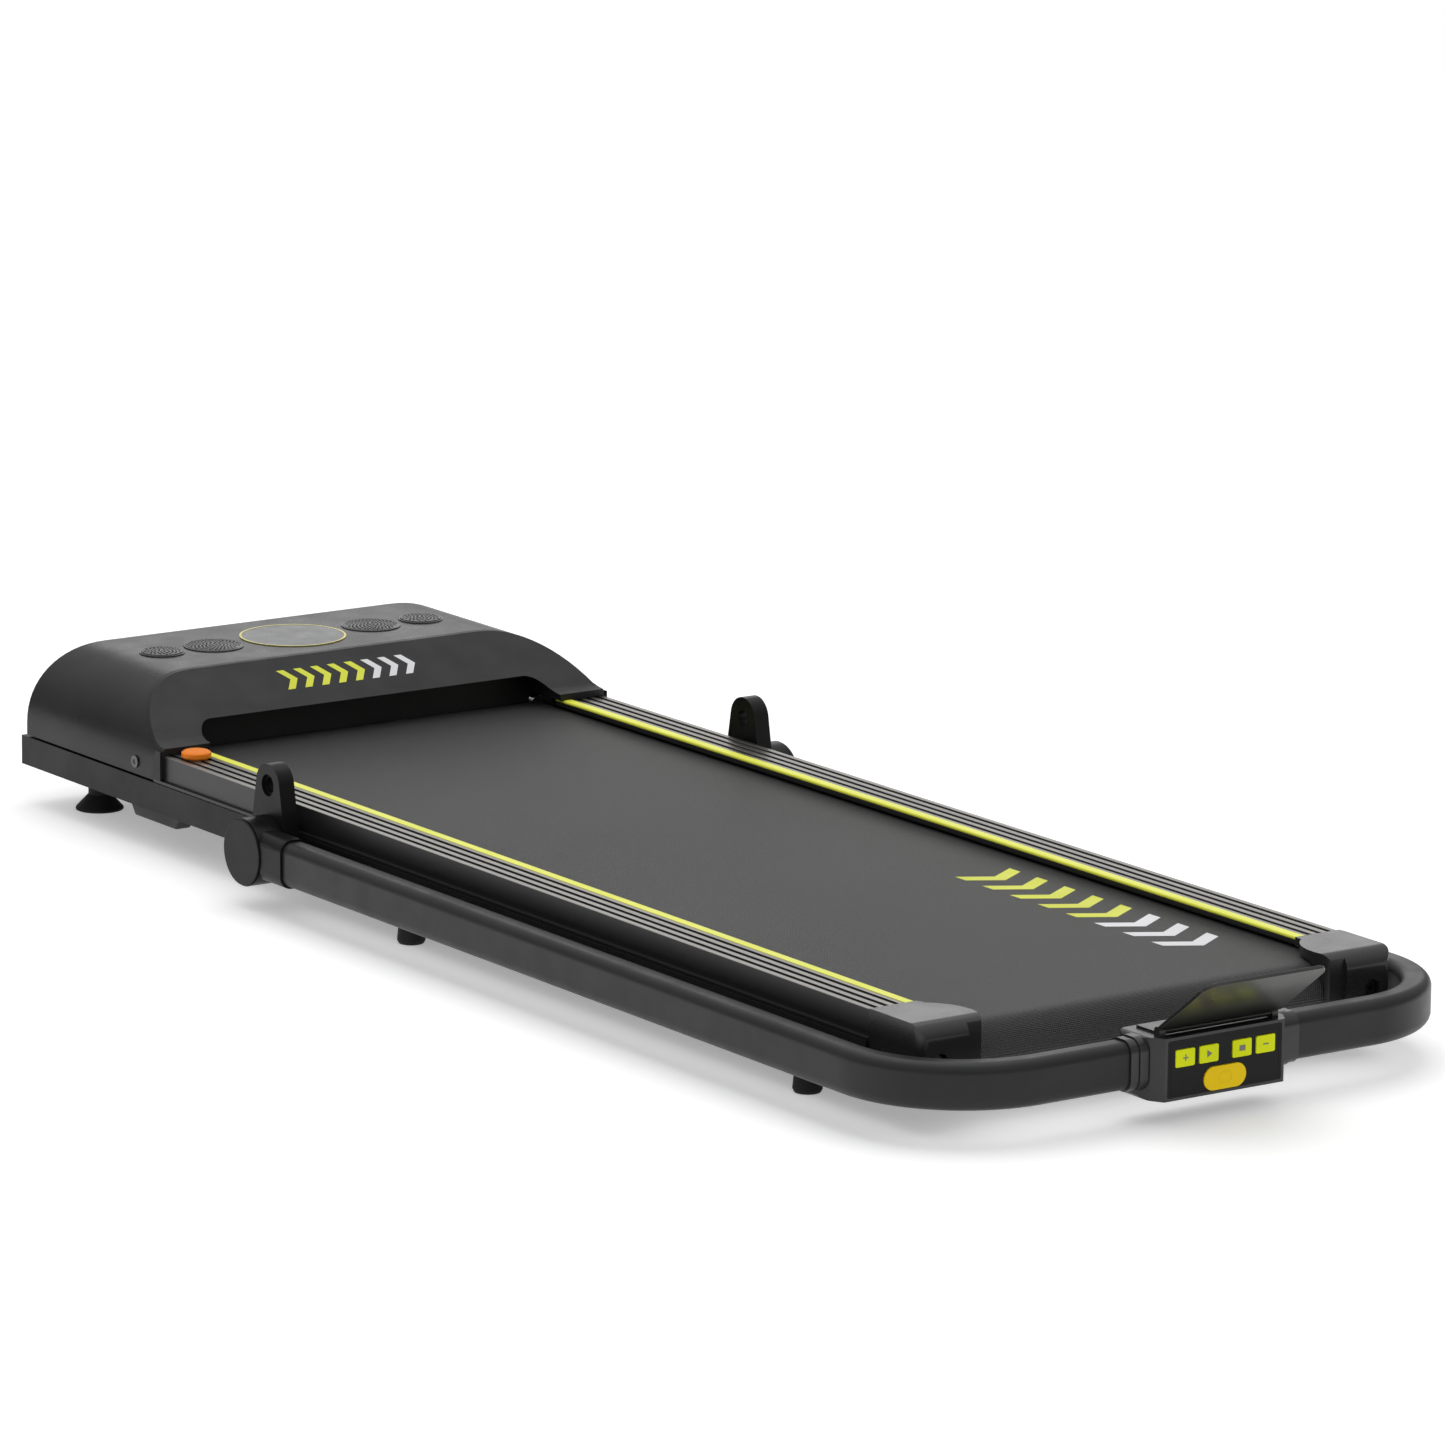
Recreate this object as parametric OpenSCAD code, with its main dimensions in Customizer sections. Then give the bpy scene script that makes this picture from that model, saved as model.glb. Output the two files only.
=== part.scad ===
// Folding walking treadmill. The handlebar lies folded around the deck.
// +X is to the right of a walker who faces the motor hood, +Y points to the hood, +Z is up.
// The origin is on the floor, under the middle of the whole folded machine.
// Stations called s run back from the front face of the base, so y = front_y - s.

/* [Overall] */
// Length from the front of the base to the face of the console
body_len = 1430; // [1150:10:1760]
// Width over the two side rails
rail_span = 460; // [430:5:560]
// Height of the rail tops above the floor
rail_top = 87; // [84:1:106]
// Height of the flat top of the motor hood
hood_top = 140; // [134:1:170]

/* [Frame] */
// Height of the underside of the side tubes
frame_z = 36; // [33:1:38]
// Height of a side tube
frame_tube_h = 26; // [21:1:26]
// Width of a side tube
frame_tube_w = 20; // [16:1:24]
// Wall of a side tube
frame_wall = 2; // [1.5:0.1:3]
// Distance that the side tubes stand out past the rails
frame_step = 4; // [3:0.5:6]
// Number of cross members under the deck
cross_count = 5; // [3:1:7]
// Thickness of the steel plate that carries the motor
motor_plate_t = 3; // [2:0.5:4]

/* [Belt and deck] */
// Overlap of each side rail over the edge of the belt
belt_overlap = 3; // [1:0.5:6]
// Thickness of the running belt
belt_t = 1.6; // [1.2:0.1:2.2]
// Depth of the belt surface below the rail tops
belt_drop = 9; // [8:0.5:12]
// Thickness of the deck board
deck_t = 12; // [10:0.5:14]
// Radius of both rollers
roller_r = 20.4; // [17:0.1:24.5]
// Radius of the roller axles
axle_r = 6; // [5:0.5:7]
// Radius of the drive pulley on the front roller
roller_pulley_r = 26; // [22:1:31]
// Radius of the pulley on the motor
motor_pulley_r = 14; // [12:1:17]

/* [Side rails] */
// Width of a side rail seen from above
rail_w = 43; // [36:1:52]
// Depth of the grooves along a rail
groove_depth = 1.4; // [0.8:0.1:2]
// Width of one groove
groove_w = 4.5; // [2:0.5:5]
// Width of the coloured strip along the inner edge
stripe_w = 9; // [4:0.5:10]

/* [Motor hood] */
// Station of the hood's front wall
hood_s0 = 7; // [6:1:10]
// Station where the flat top ends and the sloping fascia starts
fascia_s0 = 154; // [130:1:175]
// Station of the heel of the fascia's two legs
fascia_s1 = 239; // [215:1:260]
// Wall of the hood shell
hood_wall = 2.2; // [1.8:0.1:3]
// Thickness of the fascia
fascia_t = 3; // [2:0.5:4]
// Height of the blunt toe at the heel of each leg
toe_h = 6; // [4:0.5:8]
// Width of each of the fascia's legs
leg_w = 46; // [38:1:56]
// Height of the underside of the arch
arch_z = 107; // [100:1:112]
// Radius of the round display
display_r = 48; // [38:1:58]
// Radius of an inner, large speaker grille
speaker_big_r = 27; // [22:0.5:30]
// Radius of an outer, small speaker grille
speaker_small_r = 20.3; // [16:0.1:24]
// Station of the display and the speakers
display_s = 81; // [75:1:88]

/* [Handlebar] */
// Height of the handlebar tube's section
bar_h = 38; // [32:1:42]
// Width of the handlebar tube's section
bar_w = 25; // [21:1:30]
// Wall of the handlebar tube
bar_wall = 2; // [1.5:0.1:3]
// Height of the tube's axis when it is folded
bar_z = 49; // [46:1:50]
// Radius of the bends, on the tube's centreline
bend_r = 100; // [60:1:102]
// Station of the fold pivots
hub_s = 446; // [380:1:535]
// Radius of the pivot hubs
hub_r = 29.2; // [24:0.1:32]
// Radius of the pivot pins
pivot_r = 8; // [6:0.5:10]
// Running clearance around the pivot pins
pivot_gap = 0.05; // [0.02:0.01:0.1]
// Distance from the pivot to the hole in the lug
lug_reach = 55; // [50:1:66]
// Radius of the hole in the lug
lug_hole_r = 7; // [5:0.5:8]
// Thickness of the lug
lug_t = 15; // [12:0.5:18]

/* [Console] */
// Width of the console
console_w = 116; // [104:1:140]
// Height of the console
console_h = 50; // [48:1:60]
// Depth of the console
console_d = 47; // [40:1:56]
// Distance that each end of the console swells out past its face
wing_w = 12; // [8:0.5:14]
// Wall of the console housing
console_wall = 2.4; // [2:0.1:3]
// Width of a small button
button_w = 18.5; // [14:0.5:20]
// Height of a small button
button_h = 14; // [11:0.5:15]
// Distance between the two buttons of a pair
button_pitch = 23; // [21:0.5:25]
// Length of the large button
wide_button_w = 41; // [32:1:50]
// Height of the large button
wide_button_h = 19; // [14:1:21]
// Travel of a button
button_travel = 1.2; // [0.8:0.1:1.5]
// Length of the tablet plate from its hinge
plate_len = 80; // [62:1:96]
// Width of the tablet plate
plate_w = 119; // [106:1:136]
// Lean of the tablet plate from square to the console's face
plate_lean = 38; // [25:1:60]

/* [Hidden] */
$fn = 64;
eps = 0.01;

// Handlebar and console places
rail_x = rail_span / 2;
frame_x = rail_x + frame_step;
hub_in_x = frame_x + 3.5;
bar_x = hub_in_x + lug_t + bar_w / 2 - 2;
hub_out_x = bar_x + bar_w / 2 + 3.5;
hub_cap_t = 1.6;
console_s0 = body_len - console_d;
bar_s = console_s0 + console_d / 2 - 2;
console_z0 = bar_z + bar_h / 2 + console_wall + 0.6 - console_h;
console_z1 = console_z0 + console_h;
console_x = console_w / 2;
wing_x = console_x + wing_w;
bar_end_x = console_x - 12;
socket_wall = 2;
socket_end = 60;
socket_start = 26;
slip = 0.1;
lug_r = 18.5;

// Tablet plate places
plate_t = 3;
knuckle_r = 3.4;
hinge_back = 11.5;
hinge_pin_r = 1.5;
hinge_gap = 0.05;
hinge_s = body_len - hinge_back;
hinge_z = console_z1 + knuckle_r + 0.5;
ear_w = 6;

// The whole folded length is from the base to the edge of the tablet plate
total_len = hinge_s + plate_len * cos(plate_lean) + plate_t / 2 * sin(plate_lean);
front_y = total_len / 2;

// Belt and roller heights
belt_z = rail_top - belt_drop;
belt_gap = 0.2;
loop_r = roller_r + belt_gap + belt_t;
rail_in_x = rail_x - rail_w;
groove_pitch = 2.2 * groove_w;
belt_w = 2 * (rail_in_x + belt_overlap);
roller_z = belt_z - loop_r;
front_roller_s = 195;
cap_s1 = body_len - 80;
cap_wall = 8;
cap_bulge = 20;
rear_roller_s = cap_s1 - cap_wall - 3 - loop_r;
roller_x = belt_w / 2 + 5;
bearing_w = 10;
bearing_inset = 2;
run_gap = 0.05;

// Side rail places
cap_s0 = cap_s1 - 67;
rail_s0 = front_roller_s + roller_pulley_r + 5;
rail_z0 = frame_z + frame_tube_h;
ledge_z1 = rail_z0 + 3.3;
rail_wall_x = rail_in_x + 10;
lip_t = 6;
skin = 2;

// Deck places
deck_z1 = belt_z - belt_t - belt_gap;
deck_z0 = deck_z1 - deck_t;
deck_x = rail_wall_x - 2;
deck_s0 = front_roller_s + roller_r + 6;
deck_s1 = rear_roller_s - roller_r - 4;
cushion_t = 4;
cross_z1 = deck_z0 - cushion_t;
cross_h = 17;
cross_w = 30;
cross_in_x = frame_x - frame_tube_w;
function cross_s(i) = deck_s0 + 90 + i * (deck_s1 - deck_s0 - 150) / (cross_count - 1);

// Motor hood places
hood_x = rail_x + 2.5;
hood_z0 = rail_z0 + 1.5;
corner_w = 82;
corner_h = hood_top - hood_z0 - 10;
fascia_z1 = rail_top + 0.3;
slope_run = fascia_s1 - fascia_s0;
slope_drop = hood_top - fascia_z1;
toe_run = 2.6 * toe_h;
toe_fall = 1.2;
strip_s = 15;
strip_t = 1.5;
strip_gap = 0.15;
slope_len = sqrt(slope_run * slope_run + slope_drop * slope_drop);
arch_x = rail_x - leg_w;
arch_w = 2 * arch_x;
arch_r = 20;
skirt_s = front_roller_s - 14;
skirt_t = 2.5;
skirt_gap = 1;
skirt_z0 = roller_z + sqrt(pow(loop_r + skirt_gap, 2) - pow(front_roller_s - skirt_s - skirt_t, 2));
big_x = display_r + 8 + speaker_big_r;
small_x = big_x + speaker_big_r + 6 + speaker_small_r;
ring_w = 2;
screw_s = fascia_s1 - 44;
screw_z = hood_z0 + 11;

// Motor places
motor_r = 36;
motor_s = 95;
motor_z = frame_z + motor_plate_t + 6 + motor_r;
drive_x = roller_x + 3;
pulley_w = cross_in_x - drive_x - 3;
motor_x1 = drive_x - 22;
motor_x0 = motor_x1 - 125;
drive_t = 2.5;
drive_gap = 0.3;
motor_plate_s1 = 158;

// Foot, wheel and small part places
cone_x = rail_x - 42;
cone_s = 57.5;
cone_r = 21.4;
foot_x = frame_x - 12;
foot_r = 12;
foot_s = [623, body_len - 239];
skid_s = 181;
wheel_x = rail_x - 80;
wheel_s = 46;
wheel_r = 19;
wheel_z = wheel_r + 9;
wheel_w = 22;
wheel_axle_r = 4;
key_x = rail_x - 20;
key_s = fascia_s1 + 21;
key_r = 13;
key_t = 7;
inlet_x = hood_x - corner_w;
inlet_z = 92;
inlet_w = 50;
inlet_h = 27;
rocker_x = inlet_x - 46;
rocker_w = 15;
rocker_h = 21;
rocker_s = hood_s0 + 6;

// Button places on the console's face
face_t = 2;
button_gap = 0.35;
button_z = console_z1 - 17;
wide_button_z = console_z0 + 12.5;
button_proud = 1;
button_inner_x = button_pitch * 0.7;
button_outer_x = button_inner_x + button_pitch;
button_depth = 4;

// ---- Shapes that repeat -------------------------------------------------
// A box from x0 to x1, from station s0 to s1, from z0 to z1
module block(x0, x1, s0, s1, z0, z1) {
    translate([x0, front_y - s1, z0]) cube([x1 - x0, s1 - s0, z1 - z0]);
}

// A cylinder along X at station s and height z
module rod_x(x0, x1, s, z, r) {
    translate([x0, front_y - s, z]) rotate([0, 90, 0]) cylinder(h = x1 - x0, r = r);
}

// A cylinder along Y between two stations
module rod_s(s0, s1, x, z, r) {
    translate([x, front_y - s1, z]) rotate([-90, 0, 0]) cylinder(h = s1 - s0, r = r);
}

// A cylinder, or a cone, along Z
module rod_z(z0, z1, x, s, r, r_top = -1) {
    translate([x, front_y - s, z0]) cylinder(h = z1 - z0, r1 = r, r2 = r_top < 0 ? r : r_top);
}

// Sweeps a drawing in x and z from station s0 back to s1
module along_s(s0, s1) {
    translate([0, front_y - s0, 0]) rotate([90, 0, 0]) linear_extrude(s1 - s0) children();
}

// Sweeps a drawing in s and z from x0 to x1
module along_x(x0, x1) {
    translate([x0, front_y, 0]) rotate([90, 0, 90]) linear_extrude(x1 - x0) mirror([1, 0]) children();
}

// Sweeps a drawing in x and s from z0 up to z1
module along_z(z0, z1) {
    translate([0, front_y, z0]) linear_extrude(z1 - z0) mirror([0, 1]) children();
}

module left_side() {
    mirror([1, 0, 0]) children();
}

module both_sides() {
    children();
    left_side() children();
}

// A flat rectangle with round corners, centred
module round_rect(w, h, r) {
    square([w - 2 * r, h], center = true);
    square([w, h - 2 * r], center = true);
    for (i = [-1, 1], j = [-1, 1]) {
        translate([i * (w / 2 - r), j * (h / 2 - r)]) circle(r);
    }
}

// The outline of a belt around two pulleys
module belt_outline(a, ra, b, rb) {
    hull() {
        translate(a) circle(ra);
        translate(b) circle(rb);
    }
}

// ---- Steel frame --------------------------------------------------------
// One rectangular side tube: it has the pivot pin's hole, the lock's hole, and a tab that takes
// the hood's side screw
module frame_tube() {
    color("#2b2c2d") difference() {
        block(cross_in_x, frame_x, 0, cap_s0, frame_z, rail_z0);
        block(cross_in_x + frame_wall, frame_x - frame_wall, frame_wall, cap_s0 + 1,
              frame_z + frame_wall, rail_z0 - frame_wall);
        rod_x(cross_in_x - 1, frame_x + 1, hub_s, bar_z, pivot_r + run_gap);
        rod_x(frame_x - frame_wall - 1, frame_x + 1, hub_s - lug_reach, bar_z, lug_hole_r);
    }
    color("#2b2c2d") difference() {
        block(frame_x - 15, frame_x - 7, screw_s - 8, screw_s + 8, rail_z0, screw_z + 8);
        rod_x(frame_x - 16, frame_x - 6, screw_s, screw_z, 3 + run_gap);
    }
}

module frame_tube_right() {
    frame_tube();
}

module frame_tube_left() {
    left_side() frame_tube();
}

// The front bar and the flat members that carry the deck's cushions
module frame_crossmembers() {
    color("#2b2c2d") {
        block(-cross_in_x, cross_in_x, 0, 20, frame_z, rail_z0);
        for (i = [0 : cross_count - 1]) {
            block(-cross_in_x, cross_in_x, cross_s(i) - cross_w / 2, cross_s(i) + cross_w / 2,
                  cross_z1 - cross_h, cross_z1);
        }
    }
}

// Steel floor of the motor bay, with windows for the wheels
module motor_plate() {
    color("#3a3b3c") difference() {
        block(-cross_in_x, cross_in_x, 20, motor_plate_s1, frame_z, frame_z + motor_plate_t);
        both_sides() block(wheel_x - wheel_w / 2 - 1.5, wheel_x + wheel_w / 2 + 1.5,
                           wheel_s - wheel_r - 3, wheel_s + wheel_r + 3, frame_z - 1, frame_z + 9);
        both_sides() rod_z(frame_z - 1, frame_z + 9, cone_x, cone_s, 5 + run_gap);
    }
}

// Thin plastic pan under the motor bay
module belly_pan() {
    pan_x = cone_x - 2;
    color("#151515") difference() {
        block(-pan_x, pan_x, 24, motor_plate_s1, frame_z - 4, frame_z);
        both_sides() block(wheel_x - wheel_w / 2 - 6, wheel_x + wheel_w / 2 + 6,
                           wheel_s - wheel_r - 3, wheel_s + wheel_r + 3, frame_z - 5, frame_z + 1);
        both_sides() rod_z(frame_z - 5, frame_z + 1, cone_x, cone_s, 13);
        block(-90, 90, 60, 130, frame_z - 5, frame_z - 2.5);
    }
}

// Moulded blocks under the side tubes, behind the front feet
module skid_blocks() {
    color("#161616") both_sides() {
        along_x(cross_in_x, frame_x - 4) {
            polygon([[skid_s, frame_z], [skid_s + 84, frame_z], [skid_s + 76, frame_z - 11],
                     [skid_s + 8, frame_z - 11]]);
        }
    }
}

module cone_foot() {
    rod_z(0, 2, cone_x, cone_s, cone_r);
    rod_z(2, 14, cone_x, cone_s, cone_r, 10);
    rod_z(14, 20, cone_x, cone_s, 10);
    rod_z(20, frame_z + motor_plate_t + 6, cone_x, cone_s, 5);
}

module cone_feet() {
    color("#101010") both_sides() cone_foot();
}

module frame_feet() {
    color("#101010") both_sides() for (s = foot_s) {
        rod_z(0, 3, foot_x, s, foot_r - 1.5, foot_r);
        rod_z(3, frame_z, foot_x, s, foot_r, foot_r - 3);
    }
}

// ---- Transport wheels ---------------------------------------------------
module wheel_bracket() {
    for (k = [-1, 1]) {
        cheek_x = wheel_x + k * (wheel_w / 2 + 1.8);
        block(cheek_x - 1, cheek_x + 1, wheel_s - 9, wheel_s + 9, wheel_z - 8, frame_z);
    }
    rod_x(wheel_x - wheel_w / 2 - 4, wheel_x + wheel_w / 2 + 4, wheel_s, wheel_z, wheel_axle_r);
}

module wheel_brackets() {
    color("#8a8b8c") both_sides() wheel_bracket();
}

module wheel() {
    color("#222222") difference() {
        union() {
            rod_x(wheel_x - wheel_w / 2, wheel_x + wheel_w / 2, wheel_s, wheel_z, wheel_r - 1.5);
            rod_x(wheel_x - wheel_w / 2 + 2, wheel_x + wheel_w / 2 - 2, wheel_s, wheel_z, wheel_r);
        }
        rod_x(wheel_x - wheel_w, wheel_x + wheel_w, wheel_s, wheel_z, wheel_axle_r + run_gap);
        for (k = [-1, 1]) {
            hollow_x = wheel_x + k * wheel_w / 2;
            difference() {
                rod_x(hollow_x - 5, hollow_x + 5, wheel_s, wheel_z, wheel_r - 5);
                rod_x(hollow_x - 6, hollow_x + 6, wheel_s, wheel_z, wheel_axle_r + 4);
            }
        }
    }
}

module transport_wheel_right() {
    wheel();
}

module transport_wheel_left() {
    left_side() wheel();
}

// ---- Motor and drive ----------------------------------------------------
module motor() {
    color("#4a4c4f") difference() {
        union() {
            rod_x(motor_x0 + 12, motor_x1 - 10, motor_s, motor_z, motor_r);
            rod_x(motor_x0, motor_x0 + 12, motor_s, motor_z, motor_r - 3);
            rod_x(motor_x1 - 10, motor_x1, motor_s, motor_z, motor_r - 6);
        }
        rod_x(motor_x1 - 25, motor_x1 + 1, motor_s, motor_z, 6 + run_gap);
    }
}

// Two saddles that hold the motor on the steel plate
module motor_bracket() {
    color("#77797b") difference() {
        for (x = [motor_x0 + 22, motor_x1 - 58]) {
            block(x, x + 12, motor_s - motor_r - 8, motor_s + motor_r + 8,
                  frame_z + motor_plate_t, motor_z - 6);
        }
        rod_x(motor_x0, motor_x1, motor_s, motor_z, motor_r + run_gap);
    }
}

module motor_shaft() {
    color("#b5b7b8") {
        rod_x(motor_x1 - 20, drive_x + pulley_w + 1, motor_s, motor_z, 6);
        rod_x(motor_x1 + 2, motor_x1 + 8, motor_s, motor_z, motor_r - 10);
    }
}

module motor_pulley() {
    color("#9a9c9d") difference() {
        union() {
            rod_x(drive_x, drive_x + pulley_w, motor_s, motor_z, motor_pulley_r);
            rod_x(drive_x - 1.5, drive_x, motor_s, motor_z, motor_pulley_r + 2);
        }
        rod_x(drive_x - 3, drive_x + pulley_w + 2, motor_s, motor_z, 6 + run_gap);
    }
}

module drive_loop(grow) {
    belt_outline([motor_s, motor_z], motor_pulley_r + drive_gap + grow,
                 [front_roller_s, roller_z], roller_pulley_r + drive_gap + grow);
}

module drive_belt() {
    color("#0c0c0c") along_x(drive_x + 1, drive_x + pulley_w - 1) difference() {
        drive_loop(drive_t);
        drive_loop(0);
    }
}

// Speed controller with its heat sink and capacitors
module control_board() {
    z0 = frame_z + motor_plate_t;
    color("#2f5d3a") block(-170, -50, 78, 148, z0 + 5, z0 + 7);
    color("#a9abad") for (i = [0 : 5]) {
        block(-160 + 9 * i, -157 + 9 * i, 84, 142, z0 + 7, z0 + 30);
    }
    color("#1d2c55") for (i = [0, 1]) {
        rod_z(z0 + 7, z0 + 36, -92, 98 + 28 * i, 11);
    }
    color("#888888") for (x = [-164, -56], s = [84, 142]) {
        rod_z(z0, z0 + 5, x, s, 3);
    }
}

// Mains inlet with its open socket, and the frame of the rocker switch
module power_inlet() {
    color("#0e0e0e") difference() {
        union() {
            block(inlet_x - inlet_w / 2, inlet_x + inlet_w / 2, hood_s0 - 2, hood_s0,
                  inlet_z - inlet_h / 2 - 3, inlet_z + inlet_h / 2 + 3);
            block(inlet_x - 15, inlet_x + 15, hood_s0, hood_s0 + 24, inlet_z - 12, inlet_z + 12);
            block(rocker_x - rocker_w / 2 - 3, rocker_x + rocker_w / 2 + 3, hood_s0 - 2, hood_s0 + 16,
                  inlet_z - rocker_h / 2 - 3, inlet_z + rocker_h / 2 + 3);
        }
        block(inlet_x - 12.5, inlet_x + 12.5, hood_s0 - 3, hood_s0 + 16, inlet_z - 8.5, inlet_z + 8.5);
        block(rocker_x - rocker_w / 2, rocker_x + rocker_w / 2, hood_s0 - 3, hood_s0 + 14,
              inlet_z - rocker_h / 2, inlet_z + rocker_h / 2);
    }
    color("#0e0e0e") rod_x(rocker_x - rocker_w / 2 - 1, rocker_x + rocker_w / 2 + 1,
                           rocker_s, inlet_z, 1.5);
    color("#c9b26a") for (x = [-7, 0, 7]) {
        block(inlet_x + x - 1, inlet_x + x + 1, hood_s0 + 4, hood_s0 + 16,
              inlet_z + (x == 0 ? 1 : -4), inlet_z + (x == 0 ? 4 : -1));
    }
}

// Rocker whose two ends push in by turns
module power_rocker() {
    color("#7c1210") difference() {
        intersection() {
            rod_x(rocker_x - rocker_w / 2 + 0.4, rocker_x + rocker_w / 2 - 0.4, rocker_s, inlet_z, 8.5);
            block(rocker_x - rocker_w, rocker_x + rocker_w, hood_s0 - 2.2, hood_s0 + 10,
                  inlet_z - 7.5, inlet_z + 7.5);
        }
        rod_x(rocker_x - rocker_w, rocker_x + rocker_w, rocker_s, inlet_z, 1.5 + run_gap);
    }
}

// ---- Rollers ------------------------------------------------------------
module axle(s) {
    color("#8d9093") rod_x(-cross_in_x, cross_in_x, s, roller_z, axle_r);
}

module roller(s) {
    color("#b9bbbd") difference() {
        rod_x(-roller_x, roller_x, s, roller_z, roller_r);
        rod_x(-roller_x - 1, roller_x + 1, s, roller_z, roller_r - 3);
    }
}

module bearings(s) {
    color("#d0d2d4") both_sides() difference() {
        rod_x(roller_x - bearing_inset - bearing_w, roller_x - bearing_inset, s, roller_z, roller_r - 3);
        rod_x(roller_x - bearing_inset - bearing_w - 1, roller_x, s, roller_z, axle_r + run_gap);
    }
}

module front_axle() {
    axle(front_roller_s);
}

module front_roller() {
    roller(front_roller_s);
}

module front_bearings() {
    bearings(front_roller_s);
}

module rear_axle() {
    axle(rear_roller_s);
}

module rear_roller() {
    roller(rear_roller_s);
}

module rear_bearings() {
    bearings(rear_roller_s);
}

module roller_pulley() {
    color("#9a9c9d") difference() {
        union() {
            rod_x(drive_x, drive_x + pulley_w, front_roller_s, roller_z, roller_pulley_r);
            rod_x(drive_x - 1.5, drive_x, front_roller_s, roller_z, roller_pulley_r + 2);
            rod_x(roller_x, drive_x, front_roller_s, roller_z, roller_r - 4);
        }
        rod_x(roller_x - 1, drive_x + pulley_w + 1, front_roller_s, roller_z, axle_r + run_gap);
    }
}

// ---- Deck and running belt ----------------------------------------------
module deck_board() {
    color("#6b5238") block(-deck_x, deck_x, deck_s0, deck_s1, deck_z0, deck_z1);
}

module deck_cushions() {
    color("#1b1b1b") both_sides() for (i = [0 : cross_count - 1]) {
        rod_z(cross_z1, deck_z0, deck_x - 25, cross_s(i), 12);
    }
}

module belt_loop(r) {
    belt_outline([front_roller_s, roller_z], r, [rear_roller_s, roller_z], r);
}

module running_belt() {
    color("#303133") along_x(-belt_w / 2, belt_w / 2) difference() {
        belt_loop(loop_r);
        belt_loop(loop_r - belt_t);
    }
}

// ---- Side rails ---------------------------------------------------------
// Aluminium section: a flat top with grooves, an outer web with a lip and an inner web
module rail_section() {
    difference() {
        union() {
            translate([rail_in_x, rail_top - lip_t]) square([rail_w, lip_t]);
            translate([rail_wall_x, rail_z0]) square([rail_x - rail_wall_x, rail_top - rail_z0]);
            translate([rail_x, rail_z0]) square([frame_step - 1, 3]);
        }
        translate([rail_wall_x + skin, rail_z0 + skin]) {
            square([rail_x - rail_wall_x - 2 * skin, rail_top - rail_z0 - groove_depth - 2 * skin]);
        }
        translate([rail_in_x - 1, rail_top - 2]) square([stripe_w + 1, 4]);
        for (i = [0 : 2]) {
            translate([rail_in_x + stripe_w + groove_w + groove_pitch * i, rail_top - groove_depth]) {
                square([groove_w, groove_depth + 1]);
            }
        }
    }
}

module rail(dock) {
    color("#5a5650") difference() {
        along_s(rail_s0, cap_s0) rail_section();
        if (dock) {
            rod_z(rail_top - 1.5, rail_top + 1, key_x, key_s, key_r - 3);
        }
    }
}

module side_rail_right() {
    rail(false);
}

module side_rail_left() {
    left_side() rail(true);
}

// Bright strips let into the inner edges of the rails
module rail_stripes() {
    color("#d3e02a") both_sides() along_s(rail_s0, cap_s0) polygon([
        [rail_in_x, rail_top - 2], [rail_in_x + stripe_w, rail_top - 2],
        [rail_in_x + stripe_w, rail_top + 0.4], [rail_in_x + 1, rail_top + 0.4], [rail_in_x, rail_top - 0.6]
    ]);
}

// Steel disc in the left rail that the magnetic key sits on
module key_dock() {
    color("#a8aaac") left_side() rod_z(rail_top - 1.5, rail_top, key_x, key_s, key_r - 3.2);
}

module safety_key() {
    color("#e2631a") left_side() {
        rod_z(rail_top, rail_top + 1.5, key_x, key_s, key_r - 1.5, key_r);
        rod_z(rail_top + 1.5, rail_top + key_t - 1.5, key_x, key_s, key_r);
        rod_z(rail_top + key_t - 1.5, rail_top + key_t, key_x, key_s, key_r, key_r - 2.5);
    }
}

// ---- Rear end caps ------------------------------------------------------
// A moulded cap that closes the rail and guards the end of the rear roller
module end_cap() {
    cap_z0 = frame_z + 2;
    cap_z1 = rail_top + 1;
    cap_x = rail_x + 1;
    roller_gap = 2.6;
    color("#1d1e1f") difference() {
        intersection() {
            along_x(rail_in_x - cap_bulge - 1, cap_x) difference() {
                belt_outline([cap_s0 + 6, cap_z1 - 60], 60, [cap_s1 - 14, cap_z1 - 14], 14);
                translate([cap_s0 - 90, 0]) square([90, 200]);
                square([cap_s1 + 50, cap_z0]);
            }
            along_z(cap_z0 - 1, cap_z1 + 1) cap_plan(cap_x);
        }
        rod_x(0, rail_wall_x, rear_roller_s, roller_z, loop_r + roller_gap);
        block(0, rail_wall_x, cap_s0 - 1, rear_roller_s, 0, belt_z + roller_gap);
        block(0, rail_wall_x, 0, cap_s1 - cap_wall, 0, roller_z);
        rod_x(0, cap_x - 6, rear_roller_s, roller_z, axle_r + 0.2);
        rod_s(cap_s1 - 12, cap_s1 + 5, cap_x - 19, roller_z, 8);
        rod_s(cap_s0 - 5, cap_s1, cap_x - 19, roller_z, 3.2);
    }
}

// Outline of a cap from above: the inner edge bulges over the roller's end
module cap_plan(cap_x) {
    bulge_r = 45;
    difference() {
        union() {
            translate([rail_in_x - 2, cap_s0]) square([cap_x - rail_in_x - 6, cap_s1 - cap_s0]);
            translate([rail_in_x, cap_s0]) square([cap_x - rail_in_x, cap_s1 - cap_s0 - 8]);
            translate([cap_x - 8, cap_s1 - 8]) circle(8);
            intersection() {
                translate([rail_in_x - cap_bulge + bulge_r, cap_s0 + 45]) circle(bulge_r, $fn = 128);
                translate([rail_in_x - cap_bulge - 1, cap_s0]) square([50, cap_s1 - cap_s0 - 4]);
            }
        }
        translate([rail_in_x - cap_bulge - 2, cap_s0 - 1]) square([cap_bulge + 1, 4]);
    }
}

module end_cap_right() {
    end_cap();
}

module end_cap_left() {
    left_side() end_cap();
}

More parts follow.
